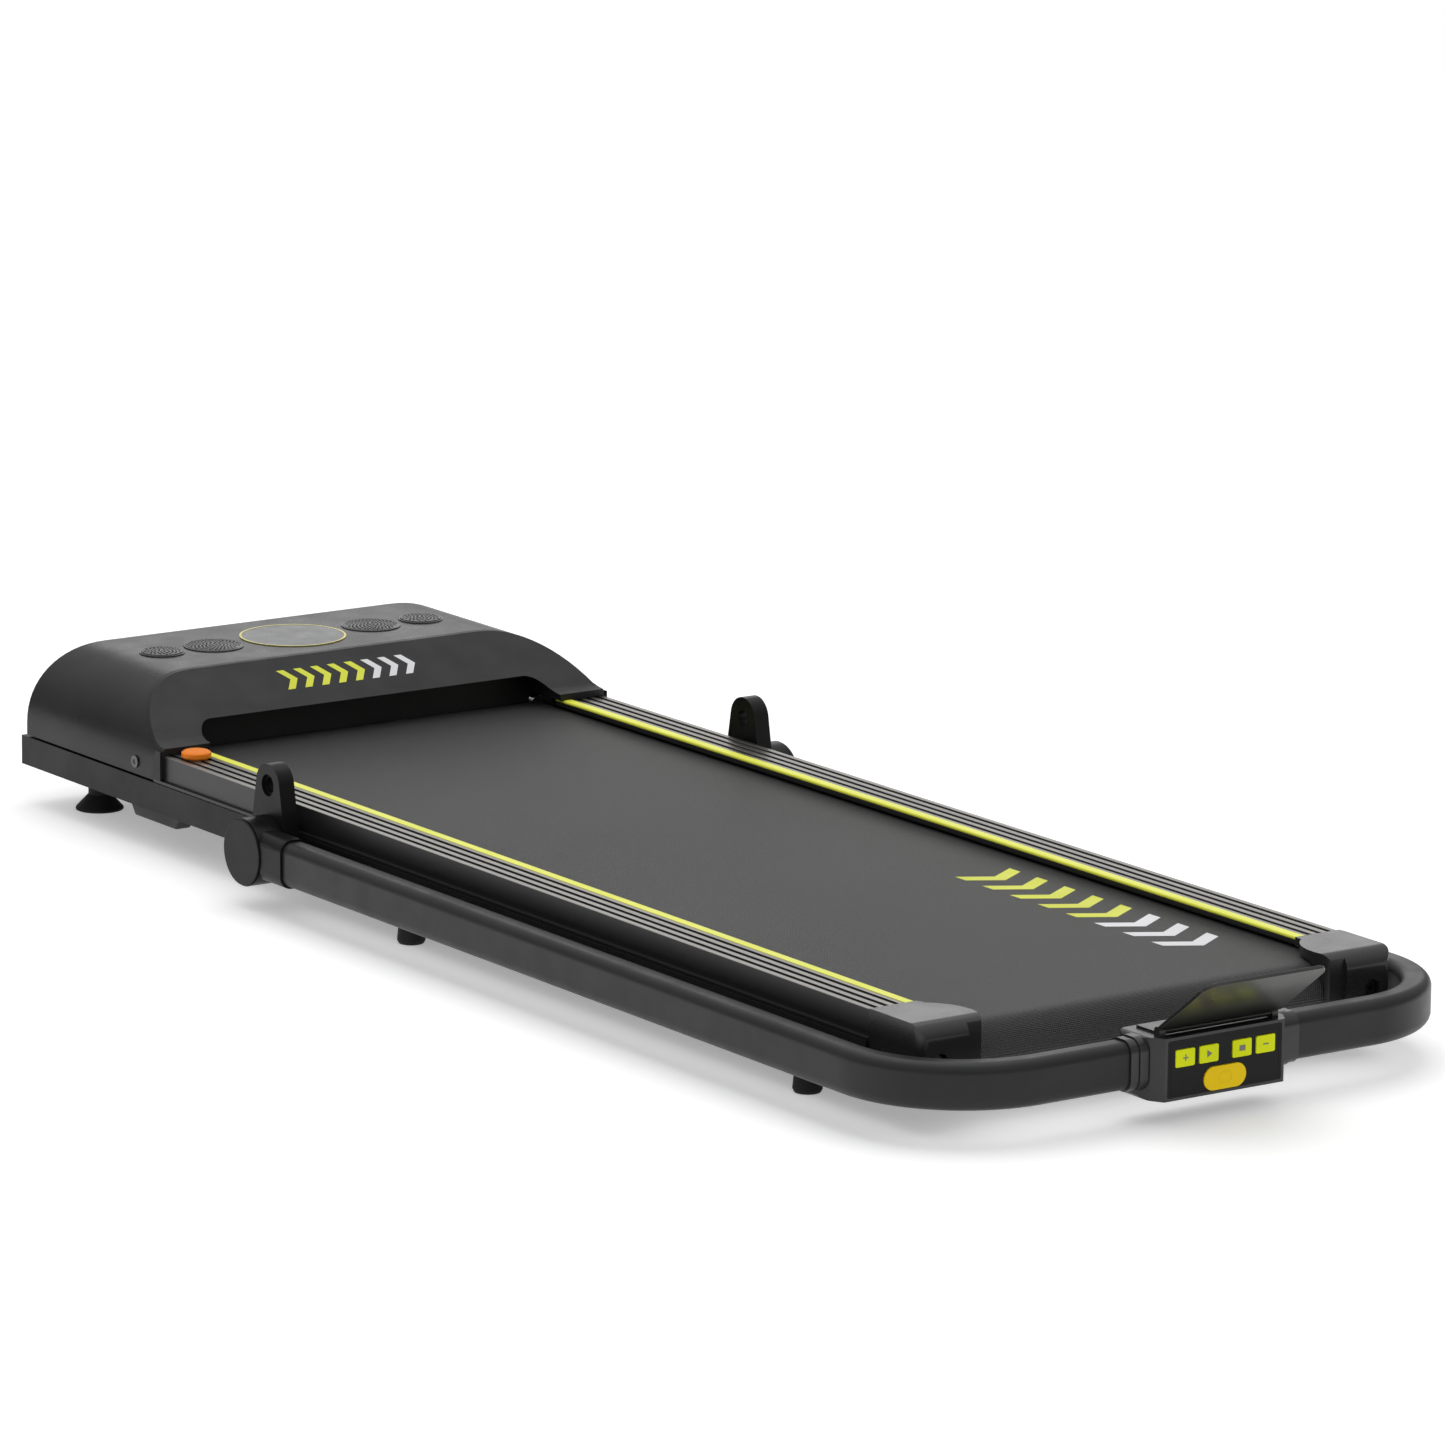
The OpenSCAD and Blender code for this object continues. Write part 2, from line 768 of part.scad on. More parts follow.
// Bolts that set the belt's tension, with hexagon socket heads
module tension_bolts() {
    bolt_x = rail_x + 1 - 19;
    color("#a0a2a4") both_sides() difference() {
        union() {
            rod_s(rear_roller_s + axle_r, cap_s1 - 8, bolt_x, roller_z, 3);
            rod_s(cap_s1 - 12, cap_s1 - 5, bolt_x, roller_z, 6);
        }
        rod_s(cap_s1 - 9, cap_s1 - 4, bolt_x, roller_z, 2.6, $fn = 6);
    }
}

// ---- Motor hood ---------------------------------------------------------
// Cross-section of the hood, drawn smaller by an inset
module hood_outline(inset) {
    cx = hood_x - corner_w;
    cz = hood_top - corner_h;
    steps = 16;
    arc = [for (i = [0 : steps]) let (t = 90 * i / steps)
        [cx + (corner_w - inset) * pow(cos(t), 0.92), cz + (corner_h - inset) * pow(sin(t), 0.92)]];
    mirrored = [for (i = [steps : -1 : 0]) [-arc[i][0], arc[i][1]]];
    polygon(concat([[hood_x - inset, hood_z0]], arc, mirrored, [[-hood_x + inset, hood_z0]]));
}

// The space under the sloping fascia, moved down square to the slope by a depth
module under_slope(depth) {
    n_s = slope_drop / slope_len;
    n_z = slope_run / slope_len;
    top = [fascia_s0 - depth * n_s, hood_top - depth * n_z];
    toe_s = fascia_s1 - toe_run;
    toe_z = fascia_z1 + toe_run * slope_drop / slope_run;
    knee_z = fascia_z1 + toe_h + toe_fall;
    back = fascia_s1 - depth;
    polygon([
        [0, 0], [0, hood_top + 9], [top[0] - 9 * slope_run / slope_drop, hood_top + 9 - depth * n_z],
        [toe_s - depth * n_s, toe_z - depth * n_z], [toe_s + toe_run / 2, knee_z - depth],
        [back, fascia_z1 + toe_h - depth], [back, 0]
    ]);
}

module arch_outline(grow) {
    translate([-arch_x - grow, 0]) square([arch_w + 2 * grow, arch_z - arch_r + grow]);
    translate([-arch_x + arch_r, 0]) square([arch_w - 2 * arch_r, arch_z + grow]);
    for (k = [-1, 1]) {
        translate([k * (arch_x - arch_r), arch_z - arch_r]) circle(arch_r + grow);
    }
}

module speaker_places() {
    for (k = [-1, 1]) {
        translate([k * big_x, front_y - display_s, hood_top]) children(0);
        translate([k * small_x, front_y - display_s, hood_top]) children(1);
    }
}

module motor_hood() {
    color("#2a2b2c") difference() {
        intersection() {
            union() {
                along_s(hood_s0, fascia_s1) difference() {
                    hood_outline(0);
                    translate([0, -eps]) hood_outline(hood_wall);
                }
                along_s(hood_s0, hood_s0 + hood_wall) hood_outline(hood_wall / 2);
            }
            along_x(-hood_x - 1, hood_x + 1) under_slope(fascia_t + 0.2);
        }
        rod_z(hood_top - 20, hood_top + 1, 0, display_s, display_r - ring_w - 2);
        speaker_places() {
            translate([0, 0, -20]) cylinder(h = 21, r = speaker_big_r - 3);
            translate([0, 0, -20]) cylinder(h = 21, r = speaker_small_r - 3);
        }
        block(inlet_x - 15.3, inlet_x + 15.3, 0, hood_s0 + 10, inlet_z - 12.3, inlet_z + 12.3);
        block(rocker_x - rocker_w / 2 - 3.3, rocker_x + rocker_w / 2 + 3.3, 0, hood_s0 + 10,
              inlet_z - rocker_h / 2 - 3.3, inlet_z + rocker_h / 2 + 3.3);
        both_sides() rod_x(hood_x - 9, hood_x + 1, screw_s, screw_z, 3.1);
        both_sides() rail_room();
    }
}

// The space that a side rail and its lip take under the hood and the fascia
module rail_room() {
    block(0, rail_x + 0.2, rail_s0 - 1, fascia_s1 + 1, 0, rail_top + 0.2);
    block(0, hood_x + 1, rail_s0 - 1, fascia_s1 + 1, 0, ledge_z1);
    block(rail_in_x - 0.5, rail_in_x + stripe_w + 0.5, rail_s0 - 1, fascia_s1 + 1, rail_top, rail_top + 0.7);
}

// Slope with the two legs, and the strip that runs down the side of each leg's heel
module hood_fascia() {
    color("#1f2021") both_sides() {
        block(hood_x - 1, hood_x + strip_t, fascia_s1 - 2, fascia_s1, ledge_z1 + 2, rail_top - 3);
        along_x(hood_x + strip_gap, hood_x + strip_t) {
            polygon([[fascia_s1 - strip_s, ledge_z1], [fascia_s1, ledge_z1],
                     [fascia_s1, rail_top + 4], [fascia_s1 - strip_s / 2, rail_top + 4]]);
        }
    }
    color("#1f2021") difference() {
        intersection() {
            along_s(fascia_s0 - 12, fascia_s1) hood_outline(0);
            along_x(-hood_x - 1, hood_x + 1) difference() {
                under_slope(0);
                under_slope(fascia_t);
            }
            block(-hood_x - 1, hood_x + 1, fascia_s0 - 6, fascia_s1, hood_z0, hood_top + 1);
        }
        along_s(0, fascia_s1 + 5) arch_outline(0);
        both_sides() rail_room();
    }
}

// Black liner under the arch: an upright panel, a ceiling and two cheeks
module hood_skirt() {
    color("#0a0a0a") intersection() {
        union() {
            along_s(skirt_s, skirt_s + skirt_t) intersection() {
                arch_outline(skirt_t);
                translate([-hood_x, skirt_z0]) square([2 * hood_x, 99]);
            }
            along_s(skirt_s + skirt_t, fascia_s1) intersection() {
                difference() {
                    arch_outline(skirt_t);
                    arch_outline(0);
                }
                translate([-hood_x, rail_top + 0.6]) square([2 * hood_x, 99]);
            }
        }
        along_x(-hood_x, hood_x) under_slope(fascia_t + 0.3);
    }
}

module hood_screws() {
    color("#5c5e60") both_sides() {
        rod_x(hood_x - 10, hood_x - 0.2, screw_s, screw_z, 3);
        difference() {
            rod_x(hood_x + 0.1, hood_x + 1.4, screw_s, screw_z, 5.5);
            rod_x(hood_x + 0.5, hood_x + 2, screw_s, screw_z, 2.4, $fn = 6);
        }
        rod_x(hood_x - 0.2, hood_x + 0.1, screw_s, screw_z, 3);
    }
}

module display_ring() {
    color("#b9a83a") difference() {
        rod_z(hood_top, hood_top + 0.8, 0, display_s, display_r);
        rod_z(hood_top - 1, hood_top + 2, 0, display_s, display_r - ring_w);
    }
}

module display_lens() {
    color("#8b8d8f") {
        rod_z(hood_top, hood_top + 0.6, 0, display_s, display_r - ring_w - 0.1);
        rod_z(hood_top - 3, hood_top, 0, display_s, display_r - ring_w - 2.1);
    }
}

module display_board() {
    board_z = hood_top - hood_wall - 8;
    color("#20482c") block(-display_r, display_r, display_s - 24, display_s + 24, board_z, board_z + 2);
    color("#d8d8d8") block(-30, 30, display_s - 10, display_s + 10, board_z + 2, board_z + 5);
}

module grille(r) {
    dome_r = r * 6;
    rise = 1.6;
    difference() {
        union() {
            cylinder(h = 0.8, r = r);
            translate([0, 0, -4]) cylinder(h = 4, r = r - 3.1);
            intersection() {
                translate([0, 0, 0.8 + rise - dome_r]) sphere(dome_r, $fn = 128);
                cylinder(h = 4, r = r - 1.5);
            }
        }
        translate([0, 0, -5]) cylinder(h = 4, r = r - 4.5);
    }
}

module speaker_grilles() {
    color("#1c1c1d") speaker_places() {
        grille(speaker_big_r);
        grille(speaker_small_r);
    }
}

module driver(r) {
    translate([0, 0, -12]) cylinder(h = 6, r1 = r - 10, r2 = r - 4);
    translate([0, 0, -19]) cylinder(h = 7, r = r - 10);
}

module speaker_drivers() {
    color("#35363a") speaker_places() {
        driver(speaker_big_r);
        driver(speaker_small_r);
    }
}

// ---- Handlebar ----------------------------------------------------------
// Pins that stand out of the side tubes, each with a washer and a retaining nut
module pivot_pins() {
    color("#9fa1a3") both_sides() {
        rod_x(cross_in_x, hub_out_x - 6, hub_s, bar_z, pivot_r);
        rod_x(frame_x, frame_x + 2.9, hub_s, bar_z, pivot_r + 8);
        rod_x(hub_out_x - 9.6, hub_out_x - 4, hub_s, bar_z, pivot_r + 6, $fn = 6);
    }
}

module bar_section(grow) {
    round_rect(bar_w + 2 * grow, bar_h + 2 * grow, 9 + grow);
}

// Round hub with its lug and the socket that holds the tube
module hub() {
    color("#1b1c1d") difference() {
        union() {
            rod_x(hub_in_x, hub_out_x - hub_cap_t - 0.4, hub_s, bar_z, hub_r);
            along_x(hub_in_x, hub_in_x + lug_t) {
                belt_outline([hub_s, bar_z], hub_r - 1, [hub_s, bar_z + lug_reach], lug_r);
            }
            translate([bar_x, 0, bar_z]) along_s(hub_s, hub_s + socket_end) bar_section(socket_wall);
            rod_z(bar_z - 12, bar_z + 12, hub_in_x + lug_t / 2, hub_s + hub_r - 3, lug_t / 2);
        }
        translate([bar_x, 0, bar_z]) along_s(hub_s + socket_start, hub_s + socket_end + 1) {
            bar_section(slip);
        }
        rod_x(hub_in_x - 1, hub_out_x, hub_s, bar_z, pivot_r + pivot_gap);
        rod_x(hub_out_x - 10, hub_out_x + 1, hub_s, bar_z, pivot_r + 8);
        rod_x(hub_out_x - hub_cap_t - 0.4, hub_out_x + 1, hub_s, bar_z, hub_r - 0.6);
        rod_x(hub_in_x - 1, hub_in_x + lug_t + 1, hub_s, bar_z + lug_reach, lug_hole_r);
        rod_x(hub_in_x + lug_t - 3, hub_in_x + lug_t + 1, hub_s, bar_z + lug_reach, lug_hole_r + 2.5);
    }
}

module hub_right() {
    hub();
}

module hub_left() {
    left_side() hub();
}

module hub_caps() {
    color("#232425") both_sides() {
        rod_x(hub_out_x - hub_cap_t - 0.4, hub_out_x, hub_s, bar_z, hub_r - 0.8);
        rod_x(hub_out_x - 3.5, hub_out_x - hub_cap_t - 0.4, hub_s, bar_z, pivot_r + 7.8);
    }
}

// Rounded rectangular tube: along the deck, round the bend and into the console
module bar_run(grow) {
    translate([bar_x, 0, bar_z]) along_s(hub_s + socket_start + 0.5, bar_s - bend_r) bar_section(grow);
    translate([bar_x - bend_r, front_y - bar_s + bend_r, bar_z]) rotate([0, 0, -90]) {
        rotate_extrude(angle = 90, $fn = 128) translate([bend_r, 0]) bar_section(grow);
    }
    translate([bar_end_x, front_y - bar_s, bar_z]) rotate([90, 0, 90]) {
        linear_extrude(bar_x - bend_r - bar_end_x) bar_section(grow);
    }
}

module bar_tube() {
    color("#2d2e30") difference() {
        bar_run(0);
        bar_run(-bar_wall);
    }
}

module handlebar_tube_right() {
    bar_tube();
}

module handlebar_tube_left() {
    left_side() bar_tube();
}

// ---- Console ------------------------------------------------------------
// Outline of the housing from above, which swells towards the tubes
module console_plan() {
    for (k = [-1, 1]) {
        polygon([
            [0, console_s0], [0, body_len], [k * console_x, body_len],
            [k * (console_x + wing_w * 0.55), body_len - console_d * 0.22],
            [k * (wing_x - 1), body_len - console_d * 0.42], [k * wing_x, body_len - console_d * 0.58],
            [k * wing_x, console_s0 + 8], [k * (wing_x - 3), console_s0 + 2], [k * (wing_x - 8), console_s0]
        ]);
    }
}

// Housing that joins the two tubes, open towards the face, with hinge ears on top
module console_housing() {
    mid_z = (console_z0 + console_z1) / 2;
    color("#17181a") difference() {
        union() {
            intersection() {
                along_z(console_z0 - 1, console_z1 + 1) console_plan();
                translate([0, 0, mid_z]) along_s(console_s0, body_len) {
                    round_rect(console_w + 2 * wing_w, console_h, 6);
                }
            }
            both_sides() translate([wing_x - 4, front_y - bar_s, bar_z]) rotate([90, 0, 90]) {
                linear_extrude(8) bar_section(socket_wall + 0.7);
                linear_extrude(16) bar_section(socket_wall - 0.4);
            }
            block(-console_x + 4, console_x - 4, console_s0 + 5, hinge_s - knuckle_r - 3,
                  console_z1 - 1, console_z1 + 1.8);
            both_sides() {
                block(console_x - ear_w, console_x, hinge_s - knuckle_r, hinge_s + knuckle_r,
                      console_z1 - 3, hinge_z);
                rod_x(console_x - ear_w, console_x, hinge_s, hinge_z, knuckle_r);
            }
        }
        translate([0, 0, mid_z]) along_s(console_s0 + console_wall, body_len + 1) {
            round_rect(console_w - 2 * console_wall, console_h - 2 * console_wall, 2);
        }
        both_sides() translate([bar_end_x - 1, front_y - bar_s, bar_z]) rotate([90, 0, 90]) {
            linear_extrude(wing_x + 20 - bar_end_x) bar_section(slip);
        }
        both_sides() rod_x(console_x - ear_w - 1, console_x - 1, hinge_s, hinge_z, hinge_pin_r + hinge_gap);
    }
}

// Where the buttons sit on the face: x and z of each
plus_at = [-button_outer_x, button_z];
start_at = [-button_inner_x, button_z];
stop_at = [button_inner_x, button_z];
minus_at = [button_outer_x, button_z];
pause_at = [0, wide_button_z];

module wide_button_outline(grow) {
    r = wide_button_h / 2 + grow;
    span = wide_button_w - wide_button_h;
    square([span, 2 * r], center = true);
    for (k = [-1, 1]) {
        translate([k * span / 2, 0]) circle(r);
    }
}

module button_outline(grow) {
    round_rect(button_w + 2 * grow, button_h + 2 * grow, 1.5);
}

// Face plate with the button openings, and the circuit board behind it
module console_face() {
    mid_z = (console_z0 + console_z1) / 2;
    board_s = body_len - face_t - button_depth - button_travel - 2;
    color("#121315") along_s(body_len - face_t, body_len) difference() {
        translate([0, mid_z]) {
            round_rect(console_w - 2 * console_wall - 0.2, console_h - 2 * console_wall - 0.2, 2);
        }
        for (p = [plus_at, start_at, stop_at, minus_at]) {
            translate(p) button_outline(button_gap);
        }
        translate(pause_at) wide_button_outline(button_gap);
    }
    color("#1f4a2c") block(-console_x + 8, console_x - 8, board_s - 1.6, board_s,
                           console_z0 + 4, console_z1 - 4);
    color("#1f4a2c") for (k = [-1, 1]) {
        block(k * (console_x - 6) - 2, k * (console_x - 6) + 2, board_s, body_len - face_t,
              mid_z - 3, mid_z + 3);
    }
}

module button(p) {
    color("#c9d92b") translate([p[0], 0, p[1]]) {
        along_s(body_len - face_t - button_depth + 2, body_len + button_proud) button_outline(0);
    }
}

module button_plus() {
    button(plus_at);
}

module button_start() {
    button(start_at);
}

module button_stop() {
    button(stop_at);
}

module button_minus() {
    button(minus_at);
}

module button_pause() {
    color("#e8b90c") translate([pause_at[0], 0, pause_at[1]]) {
        along_s(body_len - face_t - button_depth + 2, body_len + button_proud) wide_button_outline(0);
    }
}

// Smoked plate that a tablet leans on, with its hinge knuckle and two stub pins
module tablet_plate() {
    plate_r = 12;
    knuckle_x = console_x - ear_w - 0.4;
    clear = knuckle_r + 1.4;
    color("#26282a") translate([0, front_y - hinge_s, hinge_z]) rotate([-plate_lean, 0, 0]) {
        translate([0, 0, -plate_t / 2]) linear_extrude(plate_t) {
            translate([-knuckle_x, -clear - 2]) square([2 * knuckle_x, clear + 2]);
            translate([-plate_w / 2, -plate_len + plate_r]) {
                square([plate_w, plate_len - plate_r - clear]);
            }
            translate([-plate_w / 2 + plate_r, -plate_len]) square([plate_w - 2 * plate_r, plate_r + 1]);
            for (k = [-1, 1]) {
                translate([k * (plate_w / 2 - plate_r), -plate_len + plate_r]) circle(plate_r);
            }
        }
        translate([-knuckle_x, 0, 0]) rotate([0, 90, 0]) cylinder(h = 2 * knuckle_x, r = knuckle_r);
        for (k = [-1, 1]) {
            translate([k * knuckle_x + (k < 0 ? -ear_w + 1.5 : 0), 0, 0]) rotate([0, 90, 0]) {
                cylinder(h = ear_w - 1.5, r = hinge_pin_r);
            }
        }
    }
}

frame_tube_left();
frame_tube_right();
frame_crossmembers();
motor_plate();
belly_pan();
skid_blocks();
cone_feet();
frame_feet();
wheel_brackets();
transport_wheel_left();
transport_wheel_right();
motor();
motor_bracket();
motor_shaft();
motor_pulley();
drive_belt();
control_board();
power_inlet();
power_rocker();
front_axle();
front_roller();
front_bearings();
roller_pulley();
rear_axle();
rear_roller();
rear_bearings();
deck_board();
deck_cushions();
running_belt();
side_rail_left();
side_rail_right();
rail_stripes();
end_cap_left();
end_cap_right();
tension_bolts();
motor_hood();
hood_fascia();
hood_skirt();
hood_screws();
display_ring();
display_lens();
display_board();
speaker_grilles();
speaker_drivers();
key_dock();
safety_key();
pivot_pins();
hub_left();
hub_right();
hub_caps();
handlebar_tube_left();
handlebar_tube_right();
console_housing();
console_face();
tablet_plate();
button_plus();
button_start();
button_stop();
button_minus();
button_pause();
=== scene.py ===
import math

import bmesh
import bpy
from mathutils import Matrix, Vector


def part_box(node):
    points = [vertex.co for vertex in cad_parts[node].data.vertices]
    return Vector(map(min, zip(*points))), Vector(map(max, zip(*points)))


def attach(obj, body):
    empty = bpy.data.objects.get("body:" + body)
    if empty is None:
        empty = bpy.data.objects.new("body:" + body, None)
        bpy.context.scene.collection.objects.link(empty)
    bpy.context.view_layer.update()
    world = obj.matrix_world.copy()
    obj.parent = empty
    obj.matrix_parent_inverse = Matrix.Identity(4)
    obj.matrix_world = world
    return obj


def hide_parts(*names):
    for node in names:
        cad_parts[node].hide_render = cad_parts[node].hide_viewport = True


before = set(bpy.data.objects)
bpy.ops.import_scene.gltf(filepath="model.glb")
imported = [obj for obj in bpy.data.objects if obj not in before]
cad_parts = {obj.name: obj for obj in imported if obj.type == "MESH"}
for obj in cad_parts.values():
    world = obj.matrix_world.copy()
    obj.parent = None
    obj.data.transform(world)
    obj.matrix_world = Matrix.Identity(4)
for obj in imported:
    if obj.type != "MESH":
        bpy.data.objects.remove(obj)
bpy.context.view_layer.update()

scene = bpy.context.scene

# ---- Camera ---------------------------------------------------------------------------
# A long lens, low behind the left rear corner of the machine, turned a little about its
# own axis so that the hood stands as level as it does on the floor.
front_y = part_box("frame_crossmembers")[1].y
AIM = Vector((0.3523, front_y - 0.2513, 0.050))
DISTANCE = 7.350
SENSOR_WIDTH, LENS = 36, 201.85
VIEW_END = 60
AZIMUTH, ELEVATION, ROLL = math.radians(-34.998), math.radians(12.45), math.radians(0.511)

back = Vector((math.sin(AZIMUTH) * math.cos(ELEVATION), -math.cos(AZIMUTH) * math.cos(ELEVATION),
               math.sin(ELEVATION)))
right = Vector((math.cos(AZIMUTH), math.sin(AZIMUTH), 0))
up = back.cross(right)
turned_right = math.cos(ROLL) * right + math.sin(ROLL) * up
turned_up = -math.sin(ROLL) * right + math.cos(ROLL) * up
camera = bpy.data.objects.new("camera", bpy.data.cameras.new("camera"))
camera.data.sensor_width = SENSOR_WIDTH
camera.data.lens = LENS
camera.data.clip_end = VIEW_END
camera.matrix_world = Matrix.Translation(AIM + back * DISTANCE) @ Matrix(
    (turned_right, turned_up, back)).transposed().to_4x4()
scene.collection.objects.link(camera)
scene.camera = camera

# ---- Studio ---------------------------------------------------------------------------
# A pale floor under a large soft light. The sky is brightest overhead and dim at the
# horizon, so upright faces stay dark and the edges that face up catch the light.
scene.view_settings.view_transform = "Standard"
FLOOR_HALF = 14
FLOOR_GLOW = 0.34
ZENITH, HORIZON = 1.05, 0.16
TONE_START, TONE_END = 0.32, 0.68
TONE_DETAIL = 3.0


def material(name):
    """A new node material: its nodes, its links, its shader and its object coordinates."""
    made = bpy.data.materials.new(name)
    made.use_nodes = True
    nodes = made.node_tree.nodes
    where = nodes.new("ShaderNodeTexCoord").outputs["Object"]
    return made, nodes, made.node_tree.links, nodes["Principled BSDF"], where


def noise(nodes, links, where, scale, detail=2.0):
    """Soft random noise across a surface."""
    made = nodes.new("ShaderNodeTexNoise")
    made.inputs["Scale"].default_value = scale
    made.inputs["Detail"].default_value = detail
    links.new(where, made.inputs["Vector"])
    return made.outputs["Fac"]


def tone(nodes, links, where, scale, low, high):
    """A colour that wanders between two tones across a surface."""
    ramp = nodes.new("ShaderNodeValToRGB")
    start, end = ramp.color_ramp.elements
    start.position, end.position = TONE_START, TONE_END
    start.color, end.color = (*low, 1), (*high, 1)
    links.new(noise(nodes, links, where, scale, TONE_DETAIL), ramp.inputs["Fac"])
    return ramp.outputs["Color"]


def ranged(nodes, links, value, start, end):
    """A value carried over from one range to another."""
    made = nodes.new("ShaderNodeMapRange")
    made.inputs["From Min"].default_value, made.inputs["From Max"].default_value = start
    made.inputs["To Min"].default_value, made.inputs["To Max"].default_value = end
    links.new(value, made.inputs["Value"])
    return made.outputs["Result"]


def axes(nodes, links, vector):
    """The x, y and z of a vector."""
    split = nodes.new("ShaderNodeSeparateXYZ")
    links.new(vector, split.inputs[0])
    return split.outputs


floor_paint, nodes, links, shader, where = material("white_studio_floor")
shader.inputs["Roughness"].default_value = 0.85
links.new(tone(nodes, links, where, 0.6, (0.86, 0.86, 0.86), (0.88, 0.88, 0.88)),
          shader.inputs["Base Color"])
shader.inputs["Emission Color"].default_value = (1, 1, 1, 1)
shader.inputs["Emission Strength"].default_value = FLOOR_GLOW
floor = bmesh.new()
bmesh.ops.create_grid(floor, x_segments=1, y_segments=1, size=FLOOR_HALF)
floor_mesh = bpy.data.meshes.new("floor")
floor.to_mesh(floor_mesh)
floor_mesh.materials.append(floor_paint)
floor_object = bpy.data.objects.new("floor", floor_mesh)
scene.collection.objects.link(floor_object)

world = bpy.data.worlds.new("studio")
world.use_nodes = True
scene.world = world
nodes, links = world.node_tree.nodes, world.node_tree.links
direction = nodes.new("ShaderNodeTexCoord").outputs["Generated"]
sky = ranged(nodes, links, axes(nodes, links, direction)["Z"], (0, 1), (HORIZON, ZENITH))
seen = nodes.new("ShaderNodeLightPath")
choice = nodes.new("ShaderNodeMix")
links.new(seen.outputs["Is Camera Ray"], choice.inputs["Factor"])
links.new(sky, choice.inputs["A"])
choice.inputs["B"].default_value = 1.0
links.new(choice.outputs["Result"], nodes["Background"].inputs["Strength"])
nodes["Background"].inputs["Color"].default_value = (1, 1, 1, 1)


def soft_light(name, place, target, width, depth, watts):
    """A rectangular soft box that hangs at a place and faces a target."""
    box = bpy.data.objects.new(name, bpy.data.lights.new(name, "AREA"))
    box.data.shape = "RECTANGLE"
    box.data.size, box.data.size_y, box.data.energy = width, depth, watts
    box.location = place
    box.rotation_euler = (Vector(target) - Vector(place)).to_track_quat("-Z", "Y").to_euler()
    scene.collection.objects.link(box)


soft_light("overhead_box", (0.3, 0.6, 3.4), (0, 0, 0), 3.2, 3.6, 30)
soft_light("far_side_box", (2.8, 3.4, 1.5), (0, 0, 0.05), 3.0, 1.6, 16)

# ---- Steel base frame -----------------------------------------------------------------
# Two rectangular steel tubes with a front bar and flat cross members, welded and powder
# coated satin black. A steel plate closes the floor of the motor bay.
TUBE_CORNER = 0.0022
MEMBER_CORNER = 0.0012
GLOSS_LOW, GLOSS_HIGH, GLOSS_SCALE = 0.88, 1.12, 2.3
COAT_ROUGHNESS = 0.12
SHARP_TURN = 40
WELD_DISTANCE, FLAT_TURN = 0.000004, 0.4


def stretched(nodes, links, where, scale):
    """Coordinates that run faster along some axes, for streaks and rings."""
    mapping = nodes.new("ShaderNodeMapping")
    mapping.inputs["Scale"].default_value = scale
    links.new(where, mapping.inputs["Vector"])
    return mapping.outputs["Vector"]


def bumped(nodes, links, shader, height, depth):
    """Gives a finish a shallow relief."""
    bump = nodes.new("ShaderNodeBump")
    bump.inputs["Distance"].default_value = depth
    links.new(height, bump.inputs["Height"])
    links.new(bump.outputs["Normal"], shader.inputs["Normal"])


def surface(name, low, high, roughness, grain, depth, metallic=0.0, coat=0.0, stretch=None,
            specular=0.5, patch=14.0):
    """A finish with wandering tone and gloss, and a fine grain of a given pitch and depth."""
    made, nodes, links, shader, where = material(name)
    if stretch:
        where = stretched(nodes, links, where, stretch)
    links.new(tone(nodes, links, where, patch, low, high), shader.inputs["Base Color"])
    grey = (roughness * GLOSS_LOW,) * 3, (min(roughness * GLOSS_HIGH, 1),) * 3
    links.new(tone(nodes, links, where, patch * GLOSS_SCALE, *grey), shader.inputs["Roughness"])
    bumped(nodes, links, shader, noise(nodes, links, where, 1 / grain), depth)
    shader.inputs["Metallic"].default_value = metallic
    shader.inputs["Coat Weight"].default_value = coat
    shader.inputs["Coat Roughness"].default_value = COAT_ROUGHNESS
    shader.inputs["Specular IOR Level"].default_value = specular
    return made


def finished(bm, name, paint, body, *nodes_replaced):
    """Makes a piece from a bmesh, with soft shading on its round faces, and lets it ride."""
    mesh = bpy.data.meshes.new(name)
    bm.to_mesh(mesh)
    bm.free()
    mesh.materials.append(paint)
    mesh.shade_smooth()
    mesh.set_sharp_from_angle(angle=math.radians(SHARP_TURN))
    piece = bpy.data.objects.new(name, mesh)
    scene.collection.objects.link(piece)
    weighted = piece.modifiers.new("even_shading", "WEIGHTED_NORMAL")
    weighted.keep_sharp = True
    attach(piece, body)
    if nodes_replaced:
        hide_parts(*nodes_replaced)


def merged(node):
    """A bmesh of a CAD node with its loose triangles joined into whole faces."""
    bm = bmesh.new()
    bm.from_mesh(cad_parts[node].data)
    bmesh.ops.remove_doubles(bm, verts=bm.verts, dist=WELD_DISTANCE)
    bmesh.ops.dissolve_limit(bm, angle_limit=math.radians(FLAT_TURN), verts=bm.verts,
                             edges=bm.edges)
    return bm


def rounded(node, radius, paint, body, segments=2, turn=30):
    """The CAD node with its sharp edges rounded, in the finish of the real piece."""
    bm = merged(node)
    sharp = [e for e in bm.edges if len(e.link_faces) == 2
             and e.calc_face_angle(0) > math.radians(turn)]
    bmesh.ops.bevel(bm, geom=sharp, offset=radius, offset_type="OFFSET", segments=segments,
                    profile=0.5, affect="EDGES", clamp_overlap=True, material=-1)
    finished(bm, node + "_rounded", paint, body, node)


def paint_nodes(paint, *names):
    """Gives CAD nodes their finish."""
    for name in names:
        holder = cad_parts[name]
        holder.data.materials.clear()
        holder.data.materials.append(paint)


